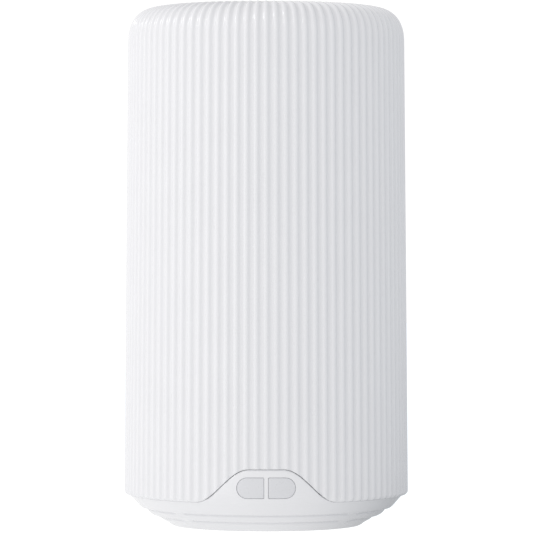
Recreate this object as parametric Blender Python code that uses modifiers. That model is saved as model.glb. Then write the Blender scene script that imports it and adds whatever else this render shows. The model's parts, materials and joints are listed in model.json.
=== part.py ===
"""A free-standing mesh wifi node: a ribbed white sleeve on a bowl-shaped base, with two push keys in
a smooth tongue at the front and a port bay at the back.

The origin is at the bottom centre of the foot, +Z is up and the front faces -Y. The dimensions below
are in millimetres, and every shape is made in metres.
"""

import math
from collections import namedtuple

import bmesh
import bpy
from mathutils import Matrix, Vector

MM = 0.001
GAP = 0.3  # between two pieces that rest on or pass through each other

# Outer shell: a drafted tube with vertical ribs and a rounded shoulder
HEIGHT = 218.5
SHELL_RADIUS = 60.0
OUTSIDE = SHELL_RADIUS + 10.0  # where a cutter clears the outside of the shell
SHELL_LOW = 13.0
SHELL_WALL = 3.0
DRAFT = math.tan(math.radians(0.47))
RIB_COUNT = 90
RIB_DEPTH = 0.9
SHOULDER_IN = 14.0
SHOULDER_UP = 15.5
SHOULDER_POWER = 2.5
SHOULDER_STEPS = 5
CAVITY_STEPS = 4
SHELL_LIP = 0.5
RIM_HOLE_RADIUS = 41.0

# Waves in the shell's lower edge, which the base fills: how far each rises, and half the width
# of its flat top and of its foot. The front one is the tongue, and the back one the port hood.
Wave = namedtuple("Wave", "rise flat foot")
FRONT_WAVE = Wave(13.5, 7.3, 31.0)
HOOD_WAVE = Wave(24.5, 30.0, 47.0)
WAVE_STEPS = 10
SEAM = 0.5
FLUSH_RADIUS = 59.6
TONGUE_BACK = -52.5

# Keys: two halves of one stadium, split by a bar
KEY_Z = 19.15
KEY_HALF_HEIGHT = 4.3
KEY_OUTER = 12.05
KEY_BAR_HALF = 0.85
KEY_TRAVEL = 0.8
KEY_CENTRE = 6.4
KEY_SINK = 0.15  # how far the key's face lies behind the tongue's
STEM_Z = 17.5
STEM_RADIUS = 1.5
STEM_END = -47.2
FLANGE_THICK = 1.2
FLANGE_INNER = 0.45
FLANGE_OUTER = 13.2
FLANGE_HALF_HEIGHT = 5.1

# Key board, with a push switch and a status LED behind each key
KEY_BOARD_FRONT = -42.1
KEY_BOARD_THICK = 1.6
KEY_BOARD_HALF_WIDTH = 20.0
KEY_BOARD_LOW = 11.0
KEY_BOARD_TOP = 27.5
KEY_SWITCH_FRONT = -45.4
KEY_SWITCH_HALF = 2.25
PLUNGER_LENGTH = 2.6
PLUNGER_RADIUS = 1.2
LED_HALF_WIDTH = 1.6
LED_LOW = 20.6
LED_TOP = 23.2
LED_DEEP = 1.6

# Base housing: a bowl with two rows of arc slots and a neck that goes up inside the shell
NECK_RADIUS = 56.5
NECK_INNER = 54.3
NECK_TOP = 24.0
RIM_RADIUS = 57.4
FLOOR_LOW = 3.3
FLOOR_TOP = 5.3
FLOOR_HOLE = 24.0
SLOT_HEIGHT = 1.0
SLOT_LIP = 0.1  # how far the bowl's step starts and ends inside the slot
SLOT_HALF_SPAN = math.radians(42)
UPPER_SLOT_TOP = 7.45
LOWER_SLOT_TOP = 3.7
UPPER_SLOT_INNER = 45.5
LOWER_SLOT_INNER = 43.2
SLOT_DIRECTIONS = 4

# Base plate and rubber foot
PLATE_RADIUS = 37.6
PLATE_LOW = 1.0
PLATE_TOP = 3.0
FOOT_OUTER = 37.2
FOOT_INNER = 31.0
FOOT_THICK = 0.7
BASE_SCREW_RING = 27.5
BASE_SCREWS = 4
BASE_SCREW_SEAT = 1.8

# Port bay at the back
HOOD_LOW = 10.0
HOOD_FRONT = 28.0
BAY_HALF_WIDTH = 31.0
BAY_LOW = 13.6
BAY_TOP = 33.5
PANEL_BACK = 44.5
PANEL_FACE = 46.5
PORT_FACE = 47.2
PORT_BOARD_TOP = 14.0
PORT_BOARD_HALF_WIDTH = 29.0
PORT_BOARD_FRONT = 16.0
BOARD_THICK = 1.6
PILLAR_X = 22.0
PILLAR_Y = 22.0

# Screw bosses inside the base housing
KEY_BOARD_BOSS_X = 16.5
KEY_BOARD_BOSS_RADIUS = 2.6
PILLAR_RADIUS = 3.0
CHASSIS_BOSS_RADIUS = 3.6
BASE_BOSS_RADIUS = 3.2
BASE_BOSS_TOP = 10.0

# Jacks: an RJ45 socket's usual outline, and a 5.5 mm barrel inlet
JACK_WIDTH = 15.9
JACK_HEIGHT = 13.3
JACK_DEPTH = 20.0
JACK_X = (-20.5, -2.5)
SOCKET_WIDTH = 11.9
SOCKET_HEIGHT = 7.0
SOCKET_DEPTH = 14.0
SOCKET_SILL = 2.2
LATCH_WIDTH = 6.0
LATCH_HEIGHT = 1.9
INLET_X = 13.5
INLET_WIDTH = 9.0
INLET_HEIGHT = 11.0
INLET_DEPTH = 14.0
INLET_BORE = 3.15
INLET_BORE_DEPTH = 10.0
INLET_PIN = 1.0
RESET_X = 24.0
RESET_Z = 20.5
RESET_RADIUS = 2.2
RESET_TRAVEL = 0.6
RESET_BACK = 42.0

# Chassis frame, which carries the boards, the heat sinks and the antennas
CHASSIS_HALF_WIDTH = 44.0
CHASSIS_HALF_THICK = 1.0
RING_LOW = NECK_TOP + GAP
RING_TOP = 26.5
RING_OUTER = 56.2
RING_INNER = 40.0
TOP_RING_LOW = 200.0
TOP_RING_TOP = 202.0
TOP_RING_OUTER = 50.0
TOP_RING_INNER = 26.0
ANTENNA_ANGLES = tuple(math.radians(angle) for angle in (225, 315, 135, 45))
ANTENNA_RADIUS = 48.0
ANTENNA_WIDTH = 14.0
ANTENNA_LENGTH = 55.0
ANTENNA_THICK = 0.8
ANTENNA_LEG_THICK = 1.5
ANTENNA_CABLE_RADIUS = 0.6
CHASSIS_SCREW_RING = 51.5
CHASSIS_SCREW_ANGLES = tuple(math.radians(angle) for angle in (35, 145, 215, 325))

# Main board, chips and heat sinks
BOARD_HALF_WIDTH = 40.0
BOARD_LOW = 34.0
BOARD_TOP = 196.0
BOARD_BACK = -3.0
BOARD_FRONT = BOARD_BACK - BOARD_THICK
BOARD_SCREW_X = 35.0
STANDOFF_RADIUS = 3.0
SINK_HALF_WIDTH = 31.0
SINK_LOW = 82.0
SINK_TOP = 184.0
SINK_BASE_BACK = BOARD_FRONT - GAP - 3.0
SINK_BASE_THICK = 2.6
SINK_FINS = 8
FIN_THICK = 1.6
FIN_DEPTH = 14.0

# Top cap, standing on the chassis inside the shell's rim
CAP_RADIUS = 37.5
CAP_LOW = 216.0
CAP_TOP = 217.8
CAP_EDGE = 0.6
CAP_LEGS = 4
CAP_LEG_RING = 32.0
CAP_LEG_RADIUS = 2.2

SCREW_HEAD_RADIUS = 2.3
SCREW_HEAD_HEIGHT = 0.9
SCREW_SHANK_RADIUS = 0.95
SCREW_BORE_RADIUS = SCREW_SHANK_RADIUS + GAP
RIBBON_THICK = 0.4

UP = Vector((0.0, 0.0, 1.0))
FORWARD = Vector((0.0, -1.0, 0.0))
SIDES = ((-1, "left"), (1, "right"))


# ---- Scene, materials and small helpers ----


def clear_scene():
    for obj in list(bpy.data.objects):
        bpy.data.objects.remove(obj, do_unlink=True)


def new_collection(name):
    collection = bpy.data.collections.new(name)
    bpy.context.scene.collection.children.link(collection)
    return collection


def new_material(name, colour, roughness, metallic=0.0):
    material = bpy.data.materials.new(name)
    material.use_nodes = True
    shader = material.node_tree.nodes["Principled BSDF"]
    shader.inputs["Base Color"].default_value = (*colour, 1.0)
    shader.inputs["Roughness"].default_value = roughness
    shader.inputs["Metallic"].default_value = metallic
    return material


def add_object(name, data, location=(0.0, 0.0, 0.0)):
    obj = bpy.data.objects.new(name, data)
    obj.location = Vector(location) * MM
    PARTS.objects.link(obj)
    return obj


def as_cutter(obj):
    """Moves a helper out of the parts, so that it shapes them and isn't one of them."""
    PARTS.objects.unlink(obj)
    CUTTERS.objects.link(obj)
    obj.hide_render = True
    obj.display_type = "WIRE"
    return obj


def combine(target, other, operation):
    modifier = target.modifiers.new(other.name, "BOOLEAN")
    modifier.object = as_cutter(other)
    modifier.operation = operation
    modifier.solver = "EXACT"


def cut(target, *others):
    for other in others:
        combine(target, other, "DIFFERENCE")


def join(target, *others):
    for other in others:
        combine(target, other, "UNION")


def finish(obj, material, smooth_angle=None):
    obj.data.materials.append(material)
    if smooth_angle is not None:
        obj.data.shade_smooth()
        obj.data.set_sharp_from_angle(angle=math.radians(smooth_angle))
    return obj


# ---- Shapes ----


def box(name, low, high):
    """A box from its two opposite corners."""
    low = Vector(low)
    high = Vector(high)
    mesh = bpy.data.meshes.new(name)
    shape = bmesh.new()
    bmesh.ops.create_cube(shape, size=MM)
    bmesh.ops.scale(shape, vec=high - low, verts=shape.verts)
    shape.to_mesh(mesh)
    shape.free()
    return add_object(name, mesh, (low + high) / 2)


def cylinder(name, radius, start, end, segments=24):
    """A round bar from one point to another."""
    start = Vector(start)
    end = Vector(end)
    mesh = bpy.data.meshes.new(name)
    shape = bmesh.new()
    bmesh.ops.create_cone(
        shape,
        cap_ends=True,
        segments=segments,
        radius1=radius * MM,
        radius2=radius * MM,
        depth=(end - start).length * MM,
    )
    shape.to_mesh(mesh)
    shape.free()
    obj = add_object(name, mesh, (start + end) / 2)
    obj.rotation_mode = "QUATERNION"
    obj.rotation_quaternion = (end - start).to_track_quat("Z", "Y")
    return obj


def turned(name, profile, steps, closed=False):
    """A profile of (radius, height) points turned about Z. It runs down the outer side."""
    mesh = bpy.data.meshes.new(name)
    points = [(radius * MM, 0.0, height * MM) for radius, height in profile]
    edges = [(i, i + 1) for i in range(len(points) - 1)]
    if closed:
        edges.append((len(points) - 1, 0))
    mesh.from_pydata(points, edges, [])
    obj = add_object(name, mesh)
    screw = obj.modifiers.new("turn", "SCREW")
    screw.axis = "Z"
    screw.steps = steps
    screw.render_steps = steps
    screw.use_merge_vertices = True
    screw.merge_threshold = 1e-5
    screw.use_smooth_shade = True
    return obj


def as_mesh(obj):
    """The object's evaluated shape as a plain mesh object of the same name, with its caps welded."""
    bpy.context.view_layer.update()
    name = obj.name
    evaluated = obj.evaluated_get(bpy.context.evaluated_depsgraph_get())
    mesh = bpy.data.meshes.new_from_object(evaluated)
    matrix = obj.matrix_world.copy()
    bpy.data.objects.remove(obj, do_unlink=True)
    shape = bmesh.new()
    shape.from_mesh(mesh)
    bmesh.ops.remove_doubles(shape, verts=shape.verts, dist=1e-6)
    bmesh.ops.recalc_face_normals(shape, faces=shape.faces)
    shape.to_mesh(mesh)
    shape.free()
    result = add_object(name, mesh)
    result.matrix_world = matrix
    return result


def extruded(name, outline, low, high, along="Z"):
    """A flat outline given thickness from low to high along Z, or along Y for an outline in X and Z."""
    curve = bpy.data.curves.new(name, "CURVE")
    curve.dimensions = "2D"
    curve.fill_mode = "BOTH"
    curve.extrude = (high - low) / 2 * MM
    spline = curve.splines.new("POLY")
    spline.points.add(len(outline) - 1)
    for point, (across, up) in zip(spline.points, outline):
        point.co = (across * MM, up * MM, 0.0, 1.0)
    spline.use_cyclic_u = True
    middle = (low + high) / 2
    if along == "Z":
        return as_mesh(add_object(name, curve, (0.0, 0.0, middle)))
    obj = add_object(name, curve, (0.0, middle, 0.0))
    obj.rotation_euler = (math.pi / 2, 0.0, 0.0)
    return as_mesh(obj)


def tube(name, route, radius, points_per_span=3):
    """A round cable along a smooth curve through the route's points."""
    curve = bpy.data.curves.new(name, "CURVE")
    curve.dimensions = "3D"
    curve.bevel_depth = radius * MM
    curve.bevel_resolution = 2
    curve.use_fill_caps = True
    places = smooth_route([Vector(point) for point in route], points_per_span)
    spline = curve.splines.new("POLY")
    spline.points.add(len(places) - 1)
    for point, place in zip(spline.points, places):
        point.co = (*(place * MM), 1.0)
    return add_object(name, curve)


def smooth_route(route, points_per_span):
    """Catmull-Rom points through the route, which pass through each of its own points."""
    ends = [2 * route[0] - route[1], *route, 2 * route[-1] - route[-2]]
    places = []
    for before, start, end, after in zip(ends, ends[1:], ends[2:], ends[3:]):
        for i in range(points_per_span):
            t = i / points_per_span
            places.append(
                0.5
                * (
                    2 * start
                    + (end - before) * t
                    + (2 * before - 5 * start + 4 * end - after) * t**2
                    + (3 * start - before - 3 * end + after) * t**3
                )
            )
    places.append(route[-1])
    return places


def polar(radius, angle, height=0.0):
    return Vector((radius * math.cos(angle), radius * math.sin(angle), height))


def arc(centre, radius, start, end, steps):
    """Points along an arc, its angles in radians."""
    angles = [start + (end - start) * i / steps for i in range(steps + 1)]
    return [(centre[0] + radius * math.cos(a), centre[1] + radius * math.sin(a)) for a in angles]


def screw(name, seat, direction, length, material):
    """A pan-head screw, its head standing on the seat point and its shank going the given way."""
    profile = [
        (0.0, SCREW_HEAD_HEIGHT),
        (SCREW_HEAD_RADIUS * 0.7, SCREW_HEAD_HEIGHT),
        (SCREW_HEAD_RADIUS, SCREW_HEAD_HEIGHT * 0.35),
        (SCREW_HEAD_RADIUS, 0.0),
        (SCREW_SHANK_RADIUS, 0.0),
        (SCREW_SHANK_RADIUS, -length),
        (0.0, -length),
    ]
    obj = turned(name, profile, 8)
    obj.location = Vector(seat) * MM
    obj.rotation_mode = "QUATERNION"
    obj.rotation_quaternion = (-Vector(direction)).to_track_quat("Z", "Y")
    return finish(obj, material)


# ---- Profiles and outlines ----


def shell_radius(height):
    """Radius over the ribs at a height on the drafted wall."""
    return SHELL_RADIUS - (height - SHELL_LOW) * DRAFT


def shoulder(steps, inset=0.0):
    """The shoulder from its top edge out and down to the wall, a quarter of a superellipse."""
    start_height = HEIGHT - SHOULDER_UP
    corner = shell_radius(start_height) - SHOULDER_IN
    points = []
    for i in range(steps + 1):
        angle = math.pi / 2 * i / steps
        out = math.sin(angle) ** (2 / SHOULDER_POWER)
        up = math.cos(angle) ** (2 / SHOULDER_POWER)
        points.append((corner + (SHOULDER_IN - inset) * out, start_height + (SHOULDER_UP - inset) * up))
    return points


def wave_share(wave, across):
    """How far out along the wave's slope a place is, from 0 at the flat top to 1 at the foot."""
    share = (abs(across) - wave.flat) / (wave.foot - wave.flat)
    return min(max(share, 0.0), 1.0)


def wave_height(wave, across):
    """How far the wave rises above the shell's edge at a distance across from the centre."""
    return wave.rise * (1 + math.cos(math.pi * wave_share(wave, across))) / 2


def wave_slope(wave, across):
    steepness = wave.rise * math.pi / 2 / (wave.foot - wave.flat)
    return -math.copysign(steepness * math.sin(math.pi * wave_share(wave, across)), across)


def wave_outline(wave, seam, low):
    """The wave in X and Z, moved in by the seam, and closed by a straight side at the low height."""
    span = wave.foot - wave.flat
    right = [wave.flat + span * i / WAVE_STEPS for i in range(WAVE_STEPS + 1)]
    across = [-x for x in reversed(right)] + right
    outline = []
    for x in across:
        slope = wave_slope(wave, x)
        length = math.hypot(1.0, slope)
        height = SHELL_LOW + wave_height(wave, x)
        outline.append((x + seam * slope / length, height - seam / length))
    outline.append((wave.foot, low))
    outline.append((-wave.foot, low))
    return outline


def key_outline(side, clearance):
    """One half of the stadium in X and Z, on the side -1 or +1, shrunk by the clearance."""
    radius = KEY_HALF_HEIGHT - clearance
    inner = KEY_BAR_HALF + clearance
    centre = KEY_OUTER - KEY_HALF_HEIGHT
    outline = [(inner, KEY_Z - radius)]
    outline += arc((centre, KEY_Z), radius, -math.pi / 2, math.pi / 2, 12)
    outline.append((inner, KEY_Z + radius))
    return [(side * x, z) for x, z in outline]


def flush_side():
    """The side of the tongue and the hood: flush with the ribs, and swelling out of the bowl below."""
    top = SHELL_LOW + HOOD_WAVE.rise + 1.0
    return [(FLUSH_RADIUS, top), (FLUSH_RADIUS, 18.5), (59.3, 15.8), (58.5, 13.6), (56.2, 11.5)]


def flush_disc(name):
    side = flush_side()
    return turned(name, [(0.0, side[0][1]), *side, (52.0, HOOD_LOW), (0.0, HOOD_LOW)], 60)


# ---- Outer shell and top cap ----


def make_outer_shell(material):
    """The ribbed sleeve: one wall from the rim hole over the shoulder down to the waved edge."""
    start_height = HEIGHT - SHOULDER_UP
    corner = shell_radius(start_height) - SHOULDER_IN
    profile = [(0.0, HEIGHT), (corner - 1.9, HEIGHT)]
    profile += shoulder(SHOULDER_STEPS)
    lip = [(SHELL_RADIUS, SHELL_LOW + SHELL_LIP + 0.1), (SHELL_RADIUS - SHELL_LIP, SHELL_LOW)]
    profile += [*lip, (0.0, SHELL_LOW)]
    shell = as_mesh(turned("outer_shell", profile, 2 * RIB_COUNT))
    press_valleys(shell.data, corner, start_height)

    above = HEIGHT + 5.0
    below = SHELL_LOW - 5.0
    cavity_profile = [(0.0, above), (RIM_HOLE_RADIUS, above), (RIM_HOLE_RADIUS, HEIGHT - SHELL_WALL)]
    cavity_profile += shoulder(CAVITY_STEPS, SHELL_WALL)
    cavity_profile += [(SHELL_RADIUS - SHELL_WALL, below), (0.0, below)]
    cut(
        shell,
        turned("shell_cavity", cavity_profile, 48),
        extruded("wave_cut", wave_outline(FRONT_WAVE, 0.0, below), -OUTSIDE, -45.0, "Y"),
        extruded("hood_cut", wave_outline(HOOD_WAVE, 0.0, below), HOOD_FRONT, OUTSIDE, "Y"),
    )
    return finish(shell, material, 30)


def press_valleys(mesh, corner, start_height):
    """Presses every second column of the wall in by the rib depth, square to the surface."""
    front = -math.pi / 2
    for vertex in mesh.vertices:
        x, y, z = vertex.co / MM
        radius = math.hypot(x, y)
        if radius < corner - 0.1 or z < SHELL_LOW - 0.1:
            continue
        angle = math.atan2(y, x)
        valley = (1 - math.cos((angle - front) * RIB_COUNT)) / 2
        out = radius - corner
        up = max(z - start_height, 0.0)
        if up == 0.0:
            out = 1.0
        length = math.hypot(out, up)
        pressed = radius - valley * RIB_DEPTH * out / length
        height = z - valley * RIB_DEPTH * up / length
        vertex.co = polar(pressed, angle, height) * MM


def make_top_cap(material):
    """A disc inside the shell's rim, on legs that stand on the chassis's top ring."""
    profile = [
        (0.0, CAP_TOP),
        (CAP_RADIUS - CAP_EDGE, CAP_TOP),
        (CAP_RADIUS, CAP_TOP - CAP_EDGE),
        (CAP_RADIUS, CAP_LOW),
        (0.0, CAP_LOW),
    ]
    cap = turned("top_cap", profile, 48)
    for i in range(CAP_LEGS):
        foot = polar(CAP_LEG_RING, 2 * math.pi / CAP_LEGS * (i + 0.5))
        start = foot + UP * (TOP_RING_TOP + GAP)
        end = foot + UP * (CAP_LOW + 0.8)
        join(cap, cylinder(f"cap_leg_{i + 1}", CAP_LEG_RADIUS, start, end, 12))
    return finish(cap, material)


# ---- Base ----


def make_base_housing(material):
    """The bowl with its step, slots and neck, the tongue, the hood with its bay, and the screw bosses."""
    profile = [
        (NECK_RADIUS, NECK_TOP),
        (NECK_RADIUS, SHELL_LOW - GAP),
        (RIM_RADIUS, SHELL_LOW - GAP),
        (57.2, 12.2),
        (56.5, 11.6),
        (53.6, 8.1),
        (52.8, UPPER_SLOT_TOP - SLOT_LIP),
        (50.1, UPPER_SLOT_TOP - SLOT_HEIGHT + SLOT_LIP),
        (49.0, 4.7),
        (47.6, LOWER_SLOT_TOP - SLOT_LIP),
        (44.9, LOWER_SLOT_TOP - SLOT_HEIGHT + SLOT_LIP),
        (42.3, 1.7),
        (40.9, 0.85),
        (39.8, 0.3),
        (PLATE_RADIUS + 2 * GAP, 0.3),
        (PLATE_RADIUS + 2 * GAP, FLOOR_LOW),
        (FLOOR_HOLE, FLOOR_LOW),
        (FLOOR_HOLE, FLOOR_TOP),
        (42.0, FLOOR_TOP),
        (48.3, 6.2),
        (51.0, 8.8),
        (NECK_INNER, 12.5),
        (NECK_INNER, NECK_TOP),
    ]
    housing = turned("base_housing", profile, 60, closed=True)

    join(housing, make_tongue(), make_hood())
    bay_space = box("port_bay", (-BAY_HALF_WIDTH, 40.0, BAY_LOW), (BAY_HALF_WIDTH, OUTSIDE, BAY_TOP))
    cut(housing, bay_space)
    add_bosses(housing)
    for side, name in SIDES:
        cut(housing, extruded(f"{name}_key_hole", key_outline(side, 0.0), -OUTSIDE, -50.0, "Y"))
    cut_slots(housing)
    return finish(housing, material)


def make_tongue():
    """The smooth patch that fills the front wave and holds the keys."""
    tongue = flush_disc("tongue")
    outline = wave_outline(FRONT_WAVE, SEAM, HOOD_LOW - 2.0)
    combine(tongue, extruded("tongue_outline", outline, -OUTSIDE, TONGUE_BACK, "Y"), "INTERSECT")
    return tongue


def make_hood():
    """The patch that fills the rear wave, solid around the port bay and hollow inside the neck."""
    hood = flush_disc("hood")
    outline = wave_outline(HOOD_WAVE, SEAM, HOOD_LOW - 2.0)
    combine(hood, extruded("hood_outline", outline, HOOD_FRONT, OUTSIDE, "Y"), "INTERSECT")
    hollow_radius = NECK_INNER + 0.5
    corner = math.asin((PANEL_BACK - 2.0) / hollow_radius)
    hollow_outline = arc((0.0, 0.0), hollow_radius, math.pi - corner, 2 * math.pi + corner, 40)
    cut(hood, extruded("hood_hollow", hollow_outline, 0.0, HEIGHT))
    return hood


def add_bosses(housing):
    """Adds the screw bosses to the housing, and then bores them."""
    bosses = []
    bores = []

    def add_boss(name, radius, place, along, reach, bore):
        """The reach and the bore are the distances at which each starts and ends."""
        start, end = [place + along * distance for distance in reach]
        bosses.append(cylinder(f"{name}_boss", radius, start, end, 12))
        start, end = [place + along * distance for distance in bore]
        bores.append(cylinder(f"{name}_bore", SCREW_BORE_RADIUS, start, end, 8))

    for side, name in SIDES:
        place = Vector((side * KEY_BOARD_BOSS_X, 0.0, KEY_Z))
        reach = (-TONGUE_BACK + GAP, -KEY_BOARD_FRONT + GAP)
        add_boss(f"{name}_board", KEY_BOARD_BOSS_RADIUS, place, FORWARD, reach, (50.5, 40.0))
        place = Vector((side * PILLAR_X, PILLAR_Y, 0.0))
        reach = (4.0, PORT_BOARD_TOP - BOARD_THICK - GAP)
        add_boss(f"{name}_pillar", PILLAR_RADIUS, place, UP, reach, (6.5, 14.0))
    for i, angle in enumerate(CHASSIS_SCREW_ANGLES, 1):
        place = polar(CHASSIS_SCREW_RING, angle)
        add_boss(f"chassis_{i}", CHASSIS_BOSS_RADIUS, place, UP, (11.0, NECK_TOP), (15.0, NECK_TOP + 3.0))
    for i, place in enumerate(base_screw_places(), 1):
        add_boss(f"base_{i}", BASE_BOSS_RADIUS, place, UP, (4.0, BASE_BOSS_TOP), (2.0, BASE_BOSS_TOP - 1.5))
    join(housing, *bosses)
    cut(housing, *bores)


def base_screw_places():
    return [polar(BASE_SCREW_RING, 2 * math.pi / BASE_SCREWS * i) for i in range(BASE_SCREWS)]


def cut_slots(housing):
    """Two rows of arc slots: the upper row vents the inside, and the lower row is a groove."""
    rows = (("upper", UPPER_SLOT_TOP, UPPER_SLOT_INNER), ("lower", LOWER_SLOT_TOP, LOWER_SLOT_INNER))
    for name, top, inner in rows:
        for i in range(SLOT_DIRECTIONS):
            middle = 2 * math.pi / SLOT_DIRECTIONS * i
            start = middle - SLOT_HALF_SPAN
            end = middle + SLOT_HALF_SPAN
            outline = arc((0.0, 0.0), SHELL_RADIUS + 2.0, start, end, 5)
            outline += arc((0.0, 0.0), inner, end, start, 7)
            cut(housing, extruded(f"{name}_slot_{i + 1}", outline, top - SLOT_HEIGHT, top))


def make_base_plate(material):
    """The disc that closes the bowl from below, its screw heads sunk."""
    plate = cylinder("base_plate", PLATE_RADIUS, UP * PLATE_LOW, UP * PLATE_TOP, 48)
    sink_top = BASE_SCREW_SEAT + GAP
    for i, place in enumerate(base_screw_places(), 1):
        cut(
            plate,
            cylinder(f"plate_hole_{i}", SCREW_BORE_RADIUS, place, place + UP * 5.0, 8),
            cylinder(f"plate_sink_{i}", SCREW_HEAD_RADIUS + GAP, place, place + UP * sink_top, 12),
        )
    return finish(plate, material)


def make_foot_ring(material):
    profile = [
        (FOOT_OUTER, FOOT_THICK),
        (FOOT_OUTER, 0.0),
        (FOOT_INNER, 0.0),
        (FOOT_INNER, FOOT_THICK),
    ]
    return finish(turned("foot_ring", profile, 48, closed=True), material)


# ---- Keys ----


def make_key(side, name, material):
    """A key's cap, the flange that holds it behind the tongue, and the stem that works its switch."""
    key = extruded(name, key_outline(side, GAP), -SHELL_RADIUS - 2.0, TONGUE_BACK + 1.0, "Y")
    face = FLUSH_RADIUS - KEY_SINK
    face_profile = [(0.0, 30.0), (face, 30.0), (face, 10.0), (0.0, 10.0)]
    combine(key, turned(f"{name}_face", face_profile, 180), "INTERSECT")
    flange_x = sorted((side * FLANGE_INNER, side * FLANGE_OUTER))
    flange_front = TONGUE_BACK + GAP
    flange = box(
        f"{name}_flange",
        (flange_x[0], flange_front, KEY_Z - FLANGE_HALF_HEIGHT),
        (flange_x[1], flange_front + FLANGE_THICK, KEY_Z + FLANGE_HALF_HEIGHT),
    )
    stem_x = side * KEY_CENTRE
    stem_start = (stem_x, flange_front + 0.9, STEM_Z)
    stem = cylinder(f"{name}_stem", STEM_RADIUS, stem_start, (stem_x, STEM_END, STEM_Z), 12)
    join(key, flange, stem)
    return finish(key, material)


def make_key_switch(side, name, body_material, plunger_material):
    """A push switch on the key board: its body, and the plunger that the key's stem pushes in."""
    x = side * KEY_CENTRE
    body = box(
        f"{name}_switch",
        (x - KEY_SWITCH_HALF, KEY_SWITCH_FRONT, STEM_Z - KEY_SWITCH_HALF),
        (x + KEY_SWITCH_HALF, KEY_BOARD_FRONT - GAP, STEM_Z + KEY_SWITCH_HALF),
    )
    plunger_front = STEM_END + GAP
    plunger_back = plunger_front + PLUNGER_LENGTH
    bore_back = plunger_back + KEY_TRAVEL + GAP
    bore_radius = PLUNGER_RADIUS + GAP
    cut(body, cylinder(f"{name}_switch_bore", bore_radius, (x, -47.0, STEM_Z), (x, bore_back, STEM_Z), 12))
    finish(body, body_material)
    plunger = cylinder(
        f"{name}_plunger",
        PLUNGER_RADIUS,
        (x, plunger_front, STEM_Z),
        (x, plunger_back, STEM_Z),
        12,
    )
    finish(plunger, plunger_material)


def make_key_board(material, led_material, screw_material):
    """The small upright board behind the tongue, with its two screws and status LEDs."""
    back = KEY_BOARD_FRONT + KEY_BOARD_THICK
    board = box(
        "key_board",
        (-KEY_BOARD_HALF_WIDTH, KEY_BOARD_FRONT, KEY_BOARD_LOW),
        (KEY_BOARD_HALF_WIDTH, back, KEY_BOARD_TOP),
    )
    for side, name in SIDES:
        hole_x = side * KEY_BOARD_BOSS_X
        start = (hole_x, KEY_BOARD_FRONT - 1.0, KEY_Z)
        end = (hole_x, back + 1.0, KEY_Z)
        cut(board, cylinder(f"{name}_key_board_hole", SCREW_BORE_RADIUS, start, end, 8))
        screw(f"{name}_key_board_screw", (hole_x, back + GAP, KEY_Z), FORWARD, 8.0, screw_material)
        x = side * KEY_CENTRE
        led_back = KEY_BOARD_FRONT - GAP
        led = box(
            f"{name}_status_led",
            (x - LED_HALF_WIDTH, led_back - LED_DEEP, LED_LOW),
            (x + LED_HALF_WIDTH, led_back, LED_TOP),
        )
        finish(led, led_material)
    return finish(board, material)


# ---- Port bay ----


def make_port_panel(material):
    """The flat plate at the bottom of the bay, with an opening for each jack and the reset button."""
    panel = box(
        "port_panel",
        (GAP - BAY_HALF_WIDTH, PANEL_BACK, BAY_LOW + GAP),
        (BAY_HALF_WIDTH - GAP, PANEL_FACE, BAY_TOP - GAP),
    )
    back = PANEL_BACK - 4.5
    front = PANEL_FACE + 3.5
    openings = [(f"panel_jack_hole_{i}", x, JACK_WIDTH, JACK_HEIGHT) for i, x in enumerate(JACK_X, 1)]
    openings.append(("panel_inlet_hole", INLET_X, INLET_WIDTH, INLET_HEIGHT))
    for name, x, width, height in openings:
        half = width / 2 + 2 * GAP
        top = PORT_BOARD_TOP + GAP + height + 2 * GAP
        cut(panel, box(name, (x - half, back, BAY_LOW - 1.0), (x + half, front, top)))
    start = (RESET_X, back, RESET_Z)
    end = (RESET_X, front, RESET_Z)
    cut(panel, cylinder("panel_reset_hole", RESET_RADIUS + GAP, start, end, 24))
    return finish(panel, material)


def make_port_board(material, screw_material):
    """The flat board that the jacks stand on, screwed to two pillars in the bowl."""
    low = PORT_BOARD_TOP - BOARD_THICK
    board = box(
        "port_board",
        (-PORT_BOARD_HALF_WIDTH, PORT_BOARD_FRONT, low),
        (PORT_BOARD_HALF_WIDTH, PANEL_BACK - 2.0 - GAP, PORT_BOARD_TOP),
    )
    for side, name in SIDES:
        place = Vector((side * PILLAR_X, PILLAR_Y, 0.0))
        start = place + UP * (low - 2.4)
        end = place + UP * (PORT_BOARD_TOP + 2.0)
        cut(board, cylinder(f"{name}_port_hole", SCREW_BORE_RADIUS, start, end, 8))
        seat = place + UP * (PORT_BOARD_TOP + GAP)
        screw(f"{name}_port_board_screw", seat, -UP, 7.0, screw_material)
    return finish(board, material)


def make_ethernet_jack(name, x, material):
    """An RJ45 jack with its socket open to the back and the latch notch at the top."""
    low = PORT_BOARD_TOP + GAP
    half = JACK_WIDTH / 2
    jack = box(name, (x - half, PORT_FACE - JACK_DEPTH, low), (x + half, PORT_FACE, low + JACK_HEIGHT))
    socket_low = low + SOCKET_SILL
    socket_top = socket_low + SOCKET_HEIGHT
    back = PORT_FACE - SOCKET_DEPTH
    socket = box(
        f"{name}_socket",
        (x - SOCKET_WIDTH / 2, back, socket_low),
        (x + SOCKET_WIDTH / 2, PORT_FACE + 2.0, socket_top),
    )
    notch = box(
        f"{name}_notch",
        (x - LATCH_WIDTH / 2, back + 3.0, socket_top - 1.0),
        (x + LATCH_WIDTH / 2, PORT_FACE + 2.0, socket_top + LATCH_HEIGHT),
    )
    cut(jack, socket, notch)
    return finish(jack, material)


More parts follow.
